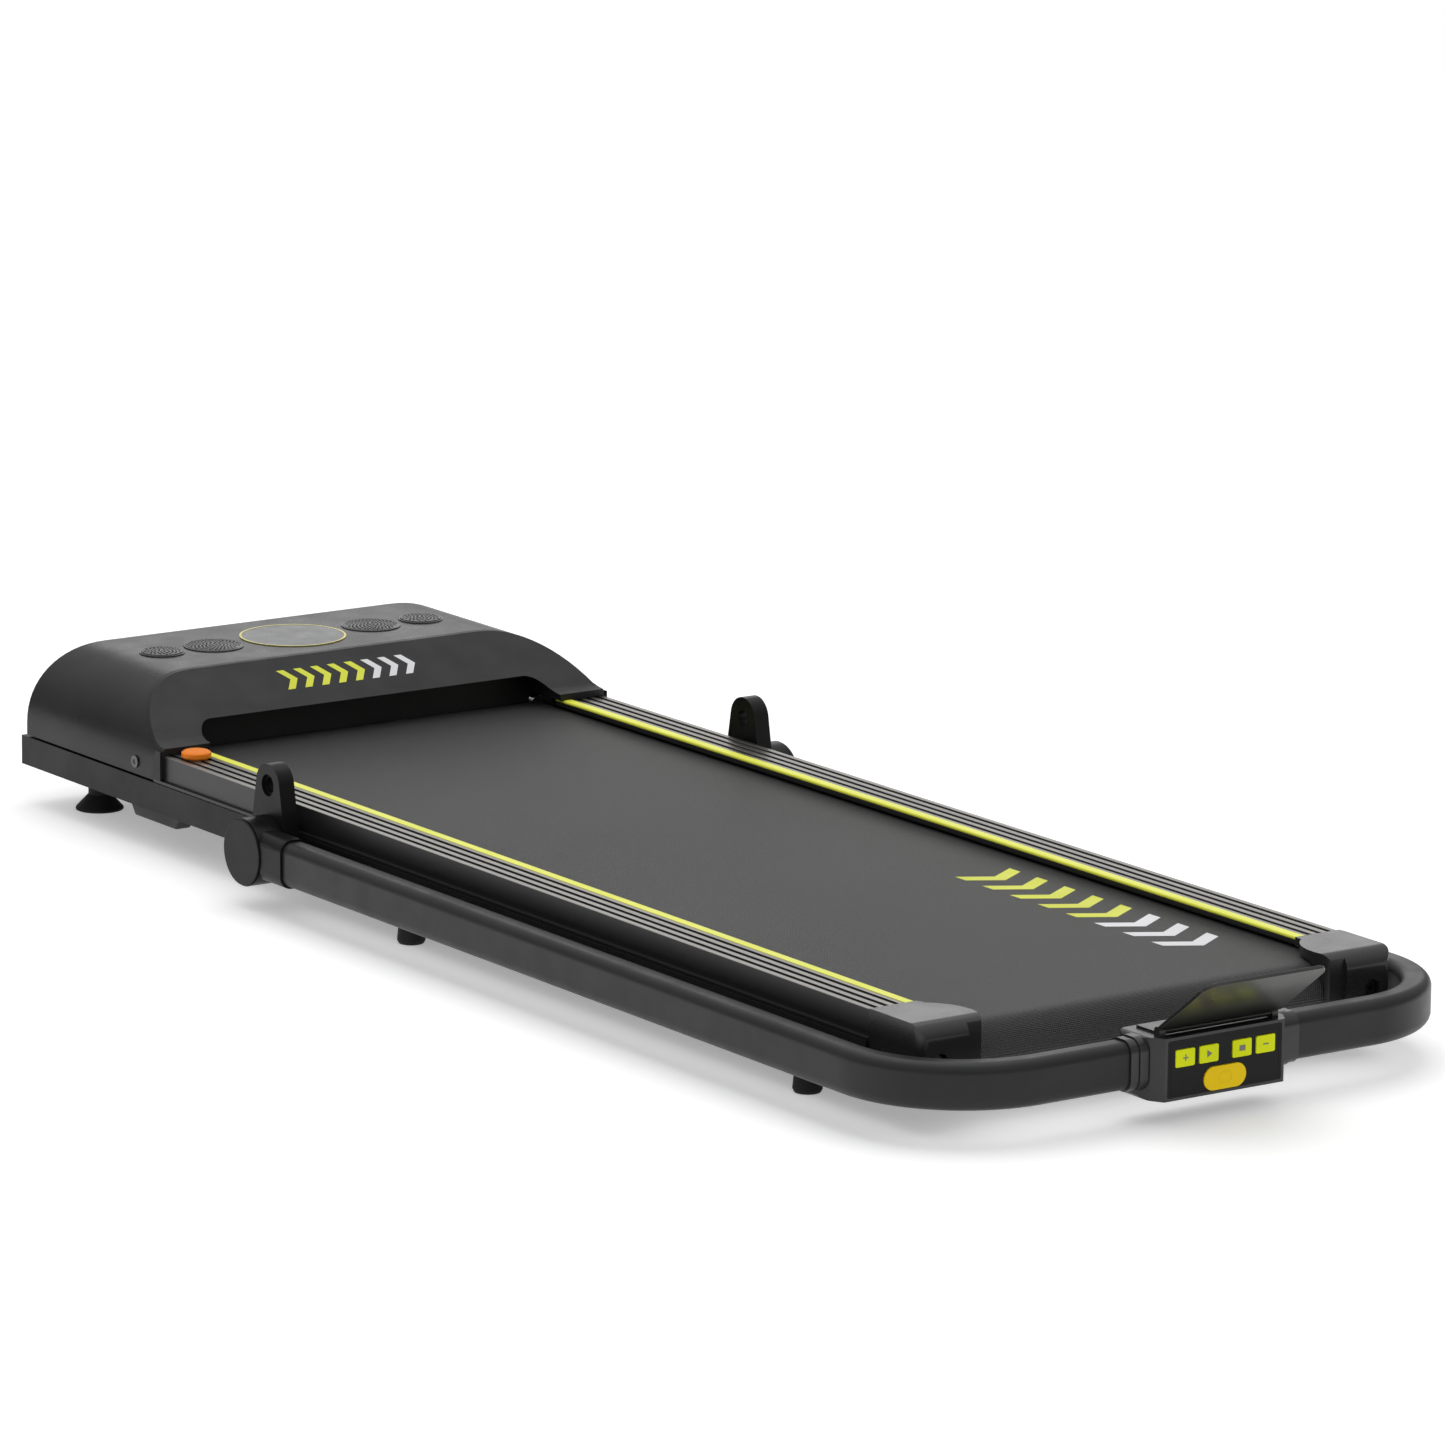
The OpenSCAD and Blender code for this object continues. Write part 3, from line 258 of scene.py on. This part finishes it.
frame_paint = surface("satin_black_powder_coat", (0.006, 0.0062, 0.0065), (0.010, 0.0103, 0.0107),
                      0.42, 0.0011, 0.00007, specular=0.2)
for node in ("frame_tube_left", "frame_tube_right"):
    rounded(node, TUBE_CORNER, frame_paint, "base", segments=3)
rounded("frame_crossmembers", MEMBER_CORNER, frame_paint, "base")
plate_paint = surface("matt_black_plate", (0.012, 0.012, 0.013), (0.02, 0.02, 0.021), 0.6,
                      0.0016, 0.00005)
paint_nodes(plate_paint, "motor_plate")

# ---- Underside mouldings and feet -----------------------------------------------------
# A thin moulded pan under the motor, two wedge blocks under the tubes, two cone feet with
# threaded stems, and four round feet, all in black rubber or plastic.
EDGE = 0.0008

pan_plastic = surface("black_moulded_plastic", (0.010, 0.010, 0.0105), (0.016, 0.016, 0.0165),
                      0.55, 0.0009, 0.00009)
foot_rubber = surface("black_rubber", (0.007, 0.007, 0.007), (0.014, 0.0138, 0.0135), 0.72,
                      0.0013, 0.00012, specular=0.35)
rounded("belly_pan", EDGE, pan_plastic, "base")
rounded("skid_blocks", 0.002, pan_plastic, "base", segments=3)
rounded("cone_feet", 0.0006, foot_rubber, "base")
rounded("frame_feet", 0.0006, foot_rubber, "base")

# ---- Transport wheels -----------------------------------------------------------------
# Moulded wheels on steel pins. Each turns between two zinc plated cheeks that hang from
# the motor plate, so the machine rolls when its rear end is lifted.
zinc = surface("zinc_plate", (0.36, 0.365, 0.37), (0.5, 0.505, 0.51), 0.34, 0.0007, 0.00002,
               metallic=1.0)
paint_nodes(zinc, "wheel_brackets", "pivot_pins", "key_dock")
rounded("transport_wheel_left", EDGE, foot_rubber, "wheel_left")
rounded("transport_wheel_right", EDGE, foot_rubber, "wheel_right")

# ---- Motor and drive ------------------------------------------------------------------
# A sealed direct current motor in two saddles turns the front roller through a ribbed
# belt. The speed controller, with its heat sink, is screwed to the plate beside it.
motor_enamel = surface("grey_motor_enamel", (0.075, 0.08, 0.086), (0.11, 0.116, 0.124), 0.38,
                       0.0012, 0.00004)
turned_metal = surface("turned_aluminium", (0.5, 0.505, 0.51), (0.62, 0.625, 0.63), 0.28,
                       0.0006, 0.00002, metallic=1.0, stretch=(4, 1, 1))
drive_rubber = surface("ribbed_belt_rubber", (0.008, 0.008, 0.008), (0.013, 0.013, 0.013),
                       0.62, 0.0012, 0.0001)
board_green = surface("green_circuit_board", (0.01, 0.05, 0.025), (0.02, 0.085, 0.04), 0.4,
                      0.0018, 0.00005, patch=90)
paint_nodes(motor_enamel, "motor")
paint_nodes(zinc, "motor_bracket", "motor_shaft")
paint_nodes(turned_metal, "motor_pulley", "roller_pulley")
paint_nodes(drive_rubber, "drive_belt")
paint_nodes(board_green, "control_board", "display_board")

# ---- Mains inlet ----------------------------------------------------------------------
# A snap-in inlet with three brass pins behind its open socket, next to a red rocker on a
# small steel pin. Both are moulded and clipped into the front wall of the hood.
rounded("power_inlet", 0.0004, pan_plastic, "base")
rocker_red = surface("red_rocker_plastic", (0.30, 0.012, 0.008), (0.38, 0.018, 0.012), 0.28,
                     0.001, 0.00002, coat=0.3)
rounded("power_rocker", 0.0004, rocker_red, "rocker")

# ---- Rollers --------------------------------------------------------------------------
# Steel tubes that turn on fixed axles, on a pressed-in bearing at each end. The surface
# shows the fine rings of the lathe.
roller_steel = surface("turned_steel", (0.33, 0.335, 0.34), (0.46, 0.465, 0.47), 0.3,
                       0.0005, 0.00003, metallic=1.0, stretch=(6, 1, 1))
paint_nodes(roller_steel, "front_roller", "rear_roller", "front_axle", "rear_axle",
            "front_bearings", "rear_bearings")

# ---- Deck board and cushions ----------------------------------------------------------
# A waxed fibre board lies on rubber cushions over the cross members. Its ends show the
# brown pressed fibres.
deck_fibre = surface("waxed_fibre_board", (0.16, 0.095, 0.05), (0.24, 0.15, 0.085), 0.6,
                     0.0012, 0.00006, stretch=(1, 0.35, 2.4), patch=40)
paint_nodes(deck_fibre, "deck_board")
paint_nodes(foot_rubber, "deck_cushions")

# ---- Running belt ---------------------------------------------------------------------
# An endless band of black coated cloth. Its face is pressed with a fine diamond weave, and
# a row of slanted marks is printed near its right edge.
WEAVE_PITCH = 0.0038
WEAVE_DEPTH = 0.0006
WEAVE_SHADE = (0.25, 1.65)

belt_cloth, nodes, links, shader, where = material("woven_belt_face")
axis = axes(nodes, links, where)


def reckoned(operation, first, second=0.5):
    """One step of arithmetic on a link, with a second link or a number."""
    made = nodes.new("ShaderNodeMath")
    made.operation = operation
    links.new(first, made.inputs[0])
    if isinstance(second, float):
        made.inputs[1].default_value = second
    else:
        links.new(second, made.inputs[1])
    return made.outputs[0]


def wave(operation):
    """A ripple whose crests run on a slant across the belt."""
    slant = reckoned(operation, axis["X"], along)
    return reckoned("SINE", reckoned("MULTIPLY", slant, 2 * math.pi / WEAVE_PITCH))


along = reckoned("ADD", axis["Y"], axis["Z"])
weave = reckoned("MULTIPLY", wave("ADD"), wave("SUBTRACT"))
bumped(nodes, links, shader, weave, WEAVE_DEPTH)
base = tone(nodes, links, where, 5, (0.033, 0.033, 0.0335), (0.041, 0.041, 0.0415))
# The weave also scales the belt's colour: darker in its hollows and lighter on its crests. This is
# painted shade and painted highlight on the relief, not dye in the cloth.
weave_painted_shade = nodes.new("ShaderNodeMix")
weave_painted_shade.data_type = "RGBA"
weave_painted_shade.blend_type = "MULTIPLY"
weave_painted_shade.inputs["Factor"].default_value = 1.0
links.new(base, weave_painted_shade.inputs["A"])
links.new(ranged(nodes, links, weave, (-1, 1), WEAVE_SHADE), weave_painted_shade.inputs["B"])
links.new(weave_painted_shade.outputs["Result"], shader.inputs["Base Color"])
shader.inputs["Roughness"].default_value = 0.44
paint_nodes(belt_cloth, "running_belt")

# ---- Side rails -----------------------------------------------------------------------
# Drawn aluminium with a bright plastic strip let in along the inner edge. The tops of its ribs are
# brushed and anodised grey brown; everything below them, in its grooves and on its outer side, is
# coloured near black and not metallic.
RIB_HEIGHT, RIB_FADE = 0.0006, 0.0003
BRUSH_STRETCH, BRUSH_SCALE, BRUSH_DEPTH = (60, 0.5, 60), 40, 0.00003
rib_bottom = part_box("side_rail_left")[1].z - RIB_HEIGHT

rail_metal, nodes, links, shader, where = material("brushed_anodised_rail")
brushed = stretched(nodes, links, where, BRUSH_STRETCH)
ribs = tone(nodes, links, brushed, 12, (0.20, 0.19, 0.175), (0.31, 0.295, 0.27))
on_rib = ranged(nodes, links, axes(nodes, links, where)["Z"],
                (rib_bottom, rib_bottom + RIB_FADE), (0, 1))
rail_tone = nodes.new("ShaderNodeMix")
rail_tone.data_type = "RGBA"
rail_tone.inputs["A"].default_value = (0.012, 0.012, 0.012, 1)
links.new(on_rib, rail_tone.inputs["Factor"])
links.new(ribs, rail_tone.inputs["B"])
links.new(rail_tone.outputs["Result"], shader.inputs["Base Color"])
links.new(on_rib, shader.inputs["Metallic"])
bumped(nodes, links, shader, noise(nodes, links, brushed, BRUSH_SCALE), BRUSH_DEPTH)
shader.inputs["Roughness"].default_value = 0.36
for node in ("side_rail_left", "side_rail_right"):
    rounded(node, 0.0003, rail_metal, "base")
strip_plastic = surface("yellow_green_strip", (0.80, 0.83, 0.060), (0.86, 0.88, 0.080), 0.4,
                        0.002, 0.00004, specular=0.3)
rounded("rail_stripes", 0.0003, strip_plastic, "base")

# ---- Safety key -----------------------------------------------------------------------
# A bright orange disc with a magnet inside, which sits on a steel disc in the left rail.
# It is moulded with a soft round edge all the way around.
key_plastic = surface("orange_key_plastic", (0.88, 0.22, 0.010), (0.95, 0.26, 0.015), 0.42,
                      0.0009, 0.00004, specular=0.2)
rounded("safety_key", 0.0012, key_plastic, "key", segments=4, turn=15)

# ---- Rear end caps --------------------------------------------------------------------
# Moulded caps push into the rail ends and guard the ends of the rear roller. Each has a
# deep hole for the hexagon socket bolt that sets the belt's tension.
cap_plastic = surface("semi_gloss_cap_plastic", (0.015, 0.015, 0.0155), (0.021, 0.021, 0.0215),
                      0.25, 0.001, 0.00003)
for node in ("end_cap_left", "end_cap_right"):
    rounded(node, 0.0018, cap_plastic, "base", segments=3)
bolt_steel = surface("black_oxide_steel", (0.09, 0.09, 0.092), (0.14, 0.14, 0.143), 0.3,
                     0.0006, 0.00002, metallic=1.0)
paint_nodes(bolt_steel, "tension_bolts")

# ---- Motor hood -----------------------------------------------------------------------
# One large moulding with a fine spark-eroded texture. Its sides roll over in wide curves
# to a flat top, and screws hold it to tabs on the frame.
hood_plastic = surface("fine_textured_hood_plastic", (0.011, 0.0111, 0.0114),
                       (0.016, 0.0162, 0.0165), 0.30, 0.0009, 0.00007,
                       specular=0.22)
rounded("motor_hood", 0.0008, hood_plastic, "base", turn=24)
fascia_plastic = surface("smooth_matt_fascia_plastic", (0.009, 0.0092, 0.0095),
                         (0.013, 0.0132, 0.0136), 0.46, 0.0008, 0.00004, specular=0.28)
rounded("hood_fascia", 0.0016, fascia_plastic, "base", segments=3, turn=24)
liner_plastic = surface("black_liner_plastic", (0.006, 0.006, 0.006), (0.010, 0.010, 0.010),
                        0.5, 0.0012, 0.00006)
paint_nodes(liner_plastic, "hood_skirt", "speaker_drivers")
rounded("hood_screws", 0.0003, bolt_steel, "base")

# ---- Round display --------------------------------------------------------------------
# A translucent window over light segments, in a thin gilt ring that is pressed into the
# top of the hood.
ring_metal = surface("gilt_ring", (0.52, 0.47, 0.10), (0.62, 0.56, 0.14), 0.3, 0.0005, 0.00001,
                     metallic=0.8)
paint_nodes(ring_metal, "display_ring")
lens_plastic = surface("pale_smoked_window", (0.065, 0.067, 0.07), (0.09, 0.092, 0.095), 0.30,
                       0.003, 0.00001, specular=0.4, patch=30)
paint_nodes(lens_plastic, "display_lens")

# ---- Speaker grilles ------------------------------------------------------------------
# Four low domes of moulded plastic. Each is pierced by small round holes, which lie on
# spirals that open from the middle.
HOLE_R = 0.00125
HOLE_PITCH = 0.00310
GOLDEN_TURN = math.pi * (3 - math.sqrt(5))
HOLE_SIDES, HOLE_MARGIN, HOLE_PACKING = 8, 0.0034, 1.05
SPIRAL_START = 0.6
PUNCH_LENGTH, PUNCH_Z = 0.008, 0.0045
DOME_BASE, DOME_RISE, DOME_BEND = 0.0008, 0.0024, 6
DOME_STEPS, DOME_TURNS = 8, 64
DOME_RIM = 0.0022
ROLLED_RIM = ((0.0015, 0.00085), (0.0008, 0.0011), (0.0002, 0.0009), (0, 0.0004), (0, 0.0),
              (0.0032, 0.0))
DOME_INSIDE = 0.0002
DOME_WELD = 0.00001
LENS_STANDS = 0.0006
hood_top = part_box("display_lens")[1].z - LENS_STANDS
display_centre = sum(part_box("display_lens"), Vector()) / 2
SMALL_R, BIG_R = 0.0203, 0.027
speaker_spots = [(0.083, BIG_R), (0.1363, SMALL_R)]


def pierced_dome(radius):
    """A shallow dome with a rolled rim and spiral rows of holes, round the origin."""
    dome_r = radius * DOME_BEND
    dome = bmesh.new()
    profile = [(0, DOME_BASE + DOME_RISE)]
    for i in range(1, DOME_STEPS + 1):
        out = (radius - DOME_RIM) * i / DOME_STEPS
        profile.append((out, DOME_BASE + DOME_RISE - dome_r + math.sqrt(dome_r ** 2 - out ** 2)))
    profile += [(radius - inset, high) for inset, high in ROLLED_RIM] + [(0, DOME_INSIDE)]
    ring = [dome.verts.new((out, 0, high)) for out, high in profile]
    edges = [dome.edges.new(pair) for pair in zip(ring, ring[1:])]
    bmesh.ops.spin(dome, geom=ring + edges, cent=(0, 0, 0), axis=(0, 0, 1), dvec=(0, 0, 0),
                   angle=2 * math.pi, steps=DOME_TURNS, use_merge=True)
    bmesh.ops.remove_doubles(dome, verts=dome.verts, dist=DOME_WELD)
    bmesh.ops.recalc_face_normals(dome, faces=dome.faces)
    punches = bmesh.new()
    reach = radius - HOLE_MARGIN
    count = int((reach / HOLE_PITCH) ** 2 * math.pi / HOLE_PACKING)
    for i in range(count):
        out = reach * math.sqrt((i + SPIRAL_START) / count)
        turn = i * GOLDEN_TURN
        bmesh.ops.create_cone(punches, cap_ends=True, segments=HOLE_SIDES, radius1=HOLE_R,
                              radius2=HOLE_R, depth=PUNCH_LENGTH, matrix=Matrix.Translation(
                                  (out * math.cos(turn), out * math.sin(turn), PUNCH_Z)))
    cut_meshes = []
    for bm, name in ((dome, "dome"), (punches, "punches")):
        mesh = bpy.data.meshes.new(name)
        bm.to_mesh(mesh)
        bm.free()
        cut_meshes.append(bpy.data.objects.new(name, mesh))
        scene.collection.objects.link(cut_meshes[-1])
    cut = cut_meshes[0].modifiers.new("holes", "BOOLEAN")
    cut.operation, cut.solver, cut.object = "DIFFERENCE", "EXACT", cut_meshes[1]
    pierced = bmesh.new()
    pierced.from_object(cut_meshes[0], bpy.context.evaluated_depsgraph_get())
    for used in cut_meshes:
        bpy.data.meshes.remove(used.data)
    return pierced


grille_plastic = surface("grille_plastic", (0.024, 0.024, 0.0245), (0.034, 0.034, 0.0345), 0.30,
                         0.0009, 0.00003)
for label, (out, radius) in zip(("inner", "outer"), speaker_spots):
    for side, word in ((-1, "left"), (1, "right")):
        grille = pierced_dome(radius)
        bmesh.ops.translate(grille, verts=grille.verts,
                            vec=(side * out, display_centre.y, hood_top))
        replaced = ("speaker_grilles",) if (label, word) == ("inner", "left") else ()
        finished(grille, f"grille_{label}_{word}", grille_plastic, "base", *replaced)

# ---- Printed marks --------------------------------------------------------------------
# Slanted bars are printed in yellow and white, on the slope of the fascia and along the
# right half of the belt. The ink stands a hair above the surface.
INK, INK_GAP = 0.00012, 0.00003
MARKS_DOWN, MARKS_LEFT = 0.0285, 0.002
BELT_MARKS_X, BELT_MARKS_S = 0.132, 1.088


def raise_faces(bm, faces, step):
    """Makes flat faces solid: a copy of them moves by a step, with walls between."""
    raised = bmesh.ops.extrude_face_region(bm, geom=faces)
    bmesh.ops.translate(bm, vec=step, verts=[
        v for v in raised["geom"] if isinstance(v, bmesh.types.BMVert)])


def chevron(bm, width, tall, arm, lean, place):
    """One printed arrow bar, drawn flat in x and y and then put in its place."""
    half = tall / 2
    outline = [(0, -half), (arm, -half), (arm + lean, 0), (arm, half), (0, half), (lean, 0)]
    corners = [bm.verts.new(place @ Vector((x - width / 2, y, 0))) for x, y in outline]
    raise_faces(bm, [bm.faces.new(corners)], place.to_3x3() @ Vector((0, 0, INK)))


yellow_ink = surface("yellow_ink", (0.66, 0.70, 0.02), (0.74, 0.78, 0.035), 0.5, 0.0015, 0.00002)
white_ink = surface("white_ink", (0.72, 0.72, 0.74), (0.80, 0.80, 0.82), 0.5, 0.0015, 0.00002)

slope_top, slope_heel = Vector((0, front_y - 0.154, 0.140)), Vector((0, front_y - 0.239, 0.0873))
downhill = (slope_heel - slope_top).normalized()
outward = Vector((1, 0, 0)).cross(-downhill)
belt_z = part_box("running_belt")[1].z


def row_of_marks(name, count, yellow, pitch, width, tall, arm, lean, matrix_at):
    """A printed row of arrow bars: the first few yellow, the rest white."""
    for first, last, paint, word in ((0, yellow, yellow_ink, "yellow"),
                                     (yellow, count, white_ink, "white")):
        bm = bmesh.new()
        for i in range(first, last):
            chevron(bm, width, tall, arm, lean, matrix_at((i - (count - 1) / 2) * pitch))
        bmesh.ops.recalc_face_normals(bm, faces=bm.faces)
        finished(bm, f"{name}_{word}", paint, "base")


def on_fascia(shift):
    """Where a mark stands on the slope of the fascia, at a shift to the right."""
    middle = slope_top + downhill * MARKS_DOWN
    middle += Vector((-MARKS_LEFT + shift, 0, 0)) + outward * INK_GAP
    return Matrix.Translation(middle) @ Matrix(
        (Vector((1, 0, 0)), -downhill, outward)).transposed().to_4x4()


def on_belt(shift):
    """Where a mark lies on the belt, at a shift to the rear."""
    middle = Vector((BELT_MARKS_X, front_y - BELT_MARKS_S - shift, belt_z + INK_GAP))
    return Matrix.Translation(middle) @ Matrix(
        (Vector((0, -1, 0)), Vector((1, 0, 0)), Vector((0, 0, 1)))).transposed().to_4x4()


row_of_marks("fascia_marks", 8, 5, 0.0176, 0.016, 0.0245, 0.0075, 0.0085, on_fascia)
row_of_marks("belt_marks", 8, 5, 0.0375, 0.032, 0.056, 0.015, 0.017, on_belt)

# ---- Pivot hubs -----------------------------------------------------------------------
# Cast and moulded hubs turn on the pivot pins. Each has a tall lug with a locking hole,
# a socket for the handlebar tube, and a flat round cap.
hub_plastic = surface("satin_hub_plastic", (0.005, 0.005, 0.0053), (0.008, 0.008, 0.0083), 0.34,
                      0.0009, 0.00004, specular=0.16)
for node in ("hub_left", "hub_right"):
    rounded(node, 0.0014, hub_plastic, "handlebar", segments=3, turn=24)
rounded("hub_caps", 0.0007, hub_plastic, "handlebar", segments=3)

# ---- Handlebar tubes ------------------------------------------------------------------
# A steel tube of rounded rectangular section on each side, bent through a quarter turn
# and powder coated satin black. Its ends push into the hub and into the console.
bar_paint = surface("satin_black_bar_coat", (0.010, 0.0102, 0.0105), (0.014, 0.0142, 0.0145),
                    0.4, 0.0012, 0.00007, specular=0.32)
for node in ("handlebar_tube_left", "handlebar_tube_right"):
    finished(merged(node), node + "_coated", bar_paint, "handlebar", node)

# ---- Console --------------------------------------------------------------------------
# A moulded housing with a collar around each tube end and a glossy dark face plate. The
# circuit board with its five switches is screwed behind the plate.
console_plastic = surface("console_plastic", (0.013, 0.013, 0.014), (0.018, 0.018, 0.0192), 0.30,
                          0.0009, 0.00004)
rounded("console_housing", 0.0012, console_plastic, "handlebar", segments=3)
face_gloss = surface("glossy_face_plate", (0.004, 0.004, 0.0045), (0.006, 0.006, 0.0066), 0.26,
                     0.002, 0.00001, specular=0.16)
rounded("console_face", 0.0003, face_gloss, "handlebar")

# ---- Buttons --------------------------------------------------------------------------
# Silicone keys that stand a millimetre out of the face: four small ones with symbols
# printed in grey, and one long amber key with a ring. A thin line is printed around them.
LINE, ARM = 0.0011, 0.0052
RING_HALF, RING_R, RING_LINE = 0.0062, 0.0042, LINE * 0.7
RING_STEPS = 14
BORDER_INSET, BORDER_LINE = 0.0028, 0.0004
key_green = surface("yellow_green_silicone", (0.72, 0.80, 0.002), (0.79, 0.86, 0.004), 0.5,
                    0.001, 0.00003, specular=0.15)
key_amber = surface("amber_silicone", (0.88, 0.60, 0.002), (0.94, 0.67, 0.004), 0.5,
                    0.001, 0.00003, specular=0.15)
symbol_grey = surface("grey_symbol_ink", (0.16, 0.17, 0.12), (0.22, 0.23, 0.17), 0.5,
                      0.001, 0.00001)
ring_ink = surface("amber_ring_ink", (0.55, 0.30, 0.01), (0.62, 0.35, 0.015), 0.45, 0.001, 0.00001)
for word in ("plus", "start", "stop", "minus", "pause"):
    rounded(f"button_{word}", 0.0005, key_amber if word == "pause" else key_green,
            f"{word}_key", segments=3)


def drawn_symbol(word, outline):
    """A flat outline in x and z, raised a hair from the front of a button."""
    low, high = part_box(f"button_{word}")
    middle = (low + high) / 2
    bm = bmesh.new()
    corners = [bm.verts.new((middle.x + x, low.y - INK_GAP, middle.z + z)) for x, z in outline]
    raise_faces(bm, [bm.faces.new(corners)], (0, -INK, 0))
    bmesh.ops.recalc_face_normals(bm, faces=bm.faces)
    finished(bm, f"symbol_{word}", symbol_grey, f"{word}_key")


def bar(width, tall):
    """The outline of a bar round the middle of its button."""
    return [(-width / 2, -tall / 2), (width / 2, -tall / 2),
            (width / 2, tall / 2), (-width / 2, tall / 2)]


drawn_symbol("plus", [(-ARM / 2, -LINE / 2), (-LINE / 2, -LINE / 2), (-LINE / 2, -ARM / 2),
                      (LINE / 2, -ARM / 2), (LINE / 2, -LINE / 2), (ARM / 2, -LINE / 2),
                      (ARM / 2, LINE / 2), (LINE / 2, LINE / 2), (LINE / 2, ARM / 2),
                      (-LINE / 2, ARM / 2), (-LINE / 2, LINE / 2), (-ARM / 2, LINE / 2)])
drawn_symbol("start", [(-0.0021, -0.0030), (0.0029, 0), (-0.0021, 0.0030)])
drawn_symbol("stop", bar(0.0058, 0.0044))
drawn_symbol("minus", bar(ARM, LINE))


def closed_line(name, outline, width, front, paint, body):
    """A thin raised line inside a closed outline in x and z, a hair before a front."""
    bm = bmesh.new()
    face = bm.faces.new([bm.verts.new((x, front - INK_GAP, z)) for x, z in outline])
    bmesh.ops.inset_region(bm, faces=[face], thickness=width, use_boundary=True,
                           use_even_offset=True)
    bmesh.ops.delete(bm, geom=[face], context="FACES_ONLY")
    raise_faces(bm, bm.faces[:], (0, -INK, 0))
    bmesh.ops.recalc_face_normals(bm, faces=bm.faces)
    finished(bm, name, paint, body)


def stadium(middle, half_width, radius):
    """The outline of a long round-ended key, as points in x and z."""
    ends = []
    for side in (1, -1):
        for i in range(RING_STEPS + 1):
            turn = side * (math.pi / 2 - math.pi * i / RING_STEPS)
            ends.append((middle.x + side * (half_width - radius) + side * radius * math.cos(turn),
                         middle.z + radius * math.sin(turn)))
    return ends


pause_low, pause_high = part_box("button_pause")
closed_line("symbol_pause", stadium((pause_low + pause_high) / 2, RING_HALF, RING_R), RING_LINE,
            pause_low.y, ring_ink, "pause_key")
face_low, face_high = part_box("console_face")
left, right_edge = face_low.x + BORDER_INSET, face_high.x - BORDER_INSET
bottom, top = face_low.z + BORDER_INSET, face_high.z - BORDER_INSET
border_ink = surface("dark_grey_border_ink", (0.045, 0.045, 0.048), (0.06, 0.06, 0.064), 0.4,
                     0.001, 0.00001)
closed_line("face_border", [(left, bottom), (right_edge, bottom), (right_edge, top), (left, top)],
            BORDER_LINE, face_low.y, border_ink, "handlebar")

# ---- Tablet plate ---------------------------------------------------------------------
# A smoked plate with two round corners. It leans back on stub pins between the ears of
# the console, and holds the foot of a tablet or a telephone.
smoked_plate = surface("smoked_gloss_plate", (0.011, 0.0117, 0.0092), (0.015, 0.0158, 0.0125), 0.30,
                       0.004, 0.00001, coat=0.15)
rounded("tablet_plate", 0.0005, smoked_plate, "tablet_rest", segments=3)
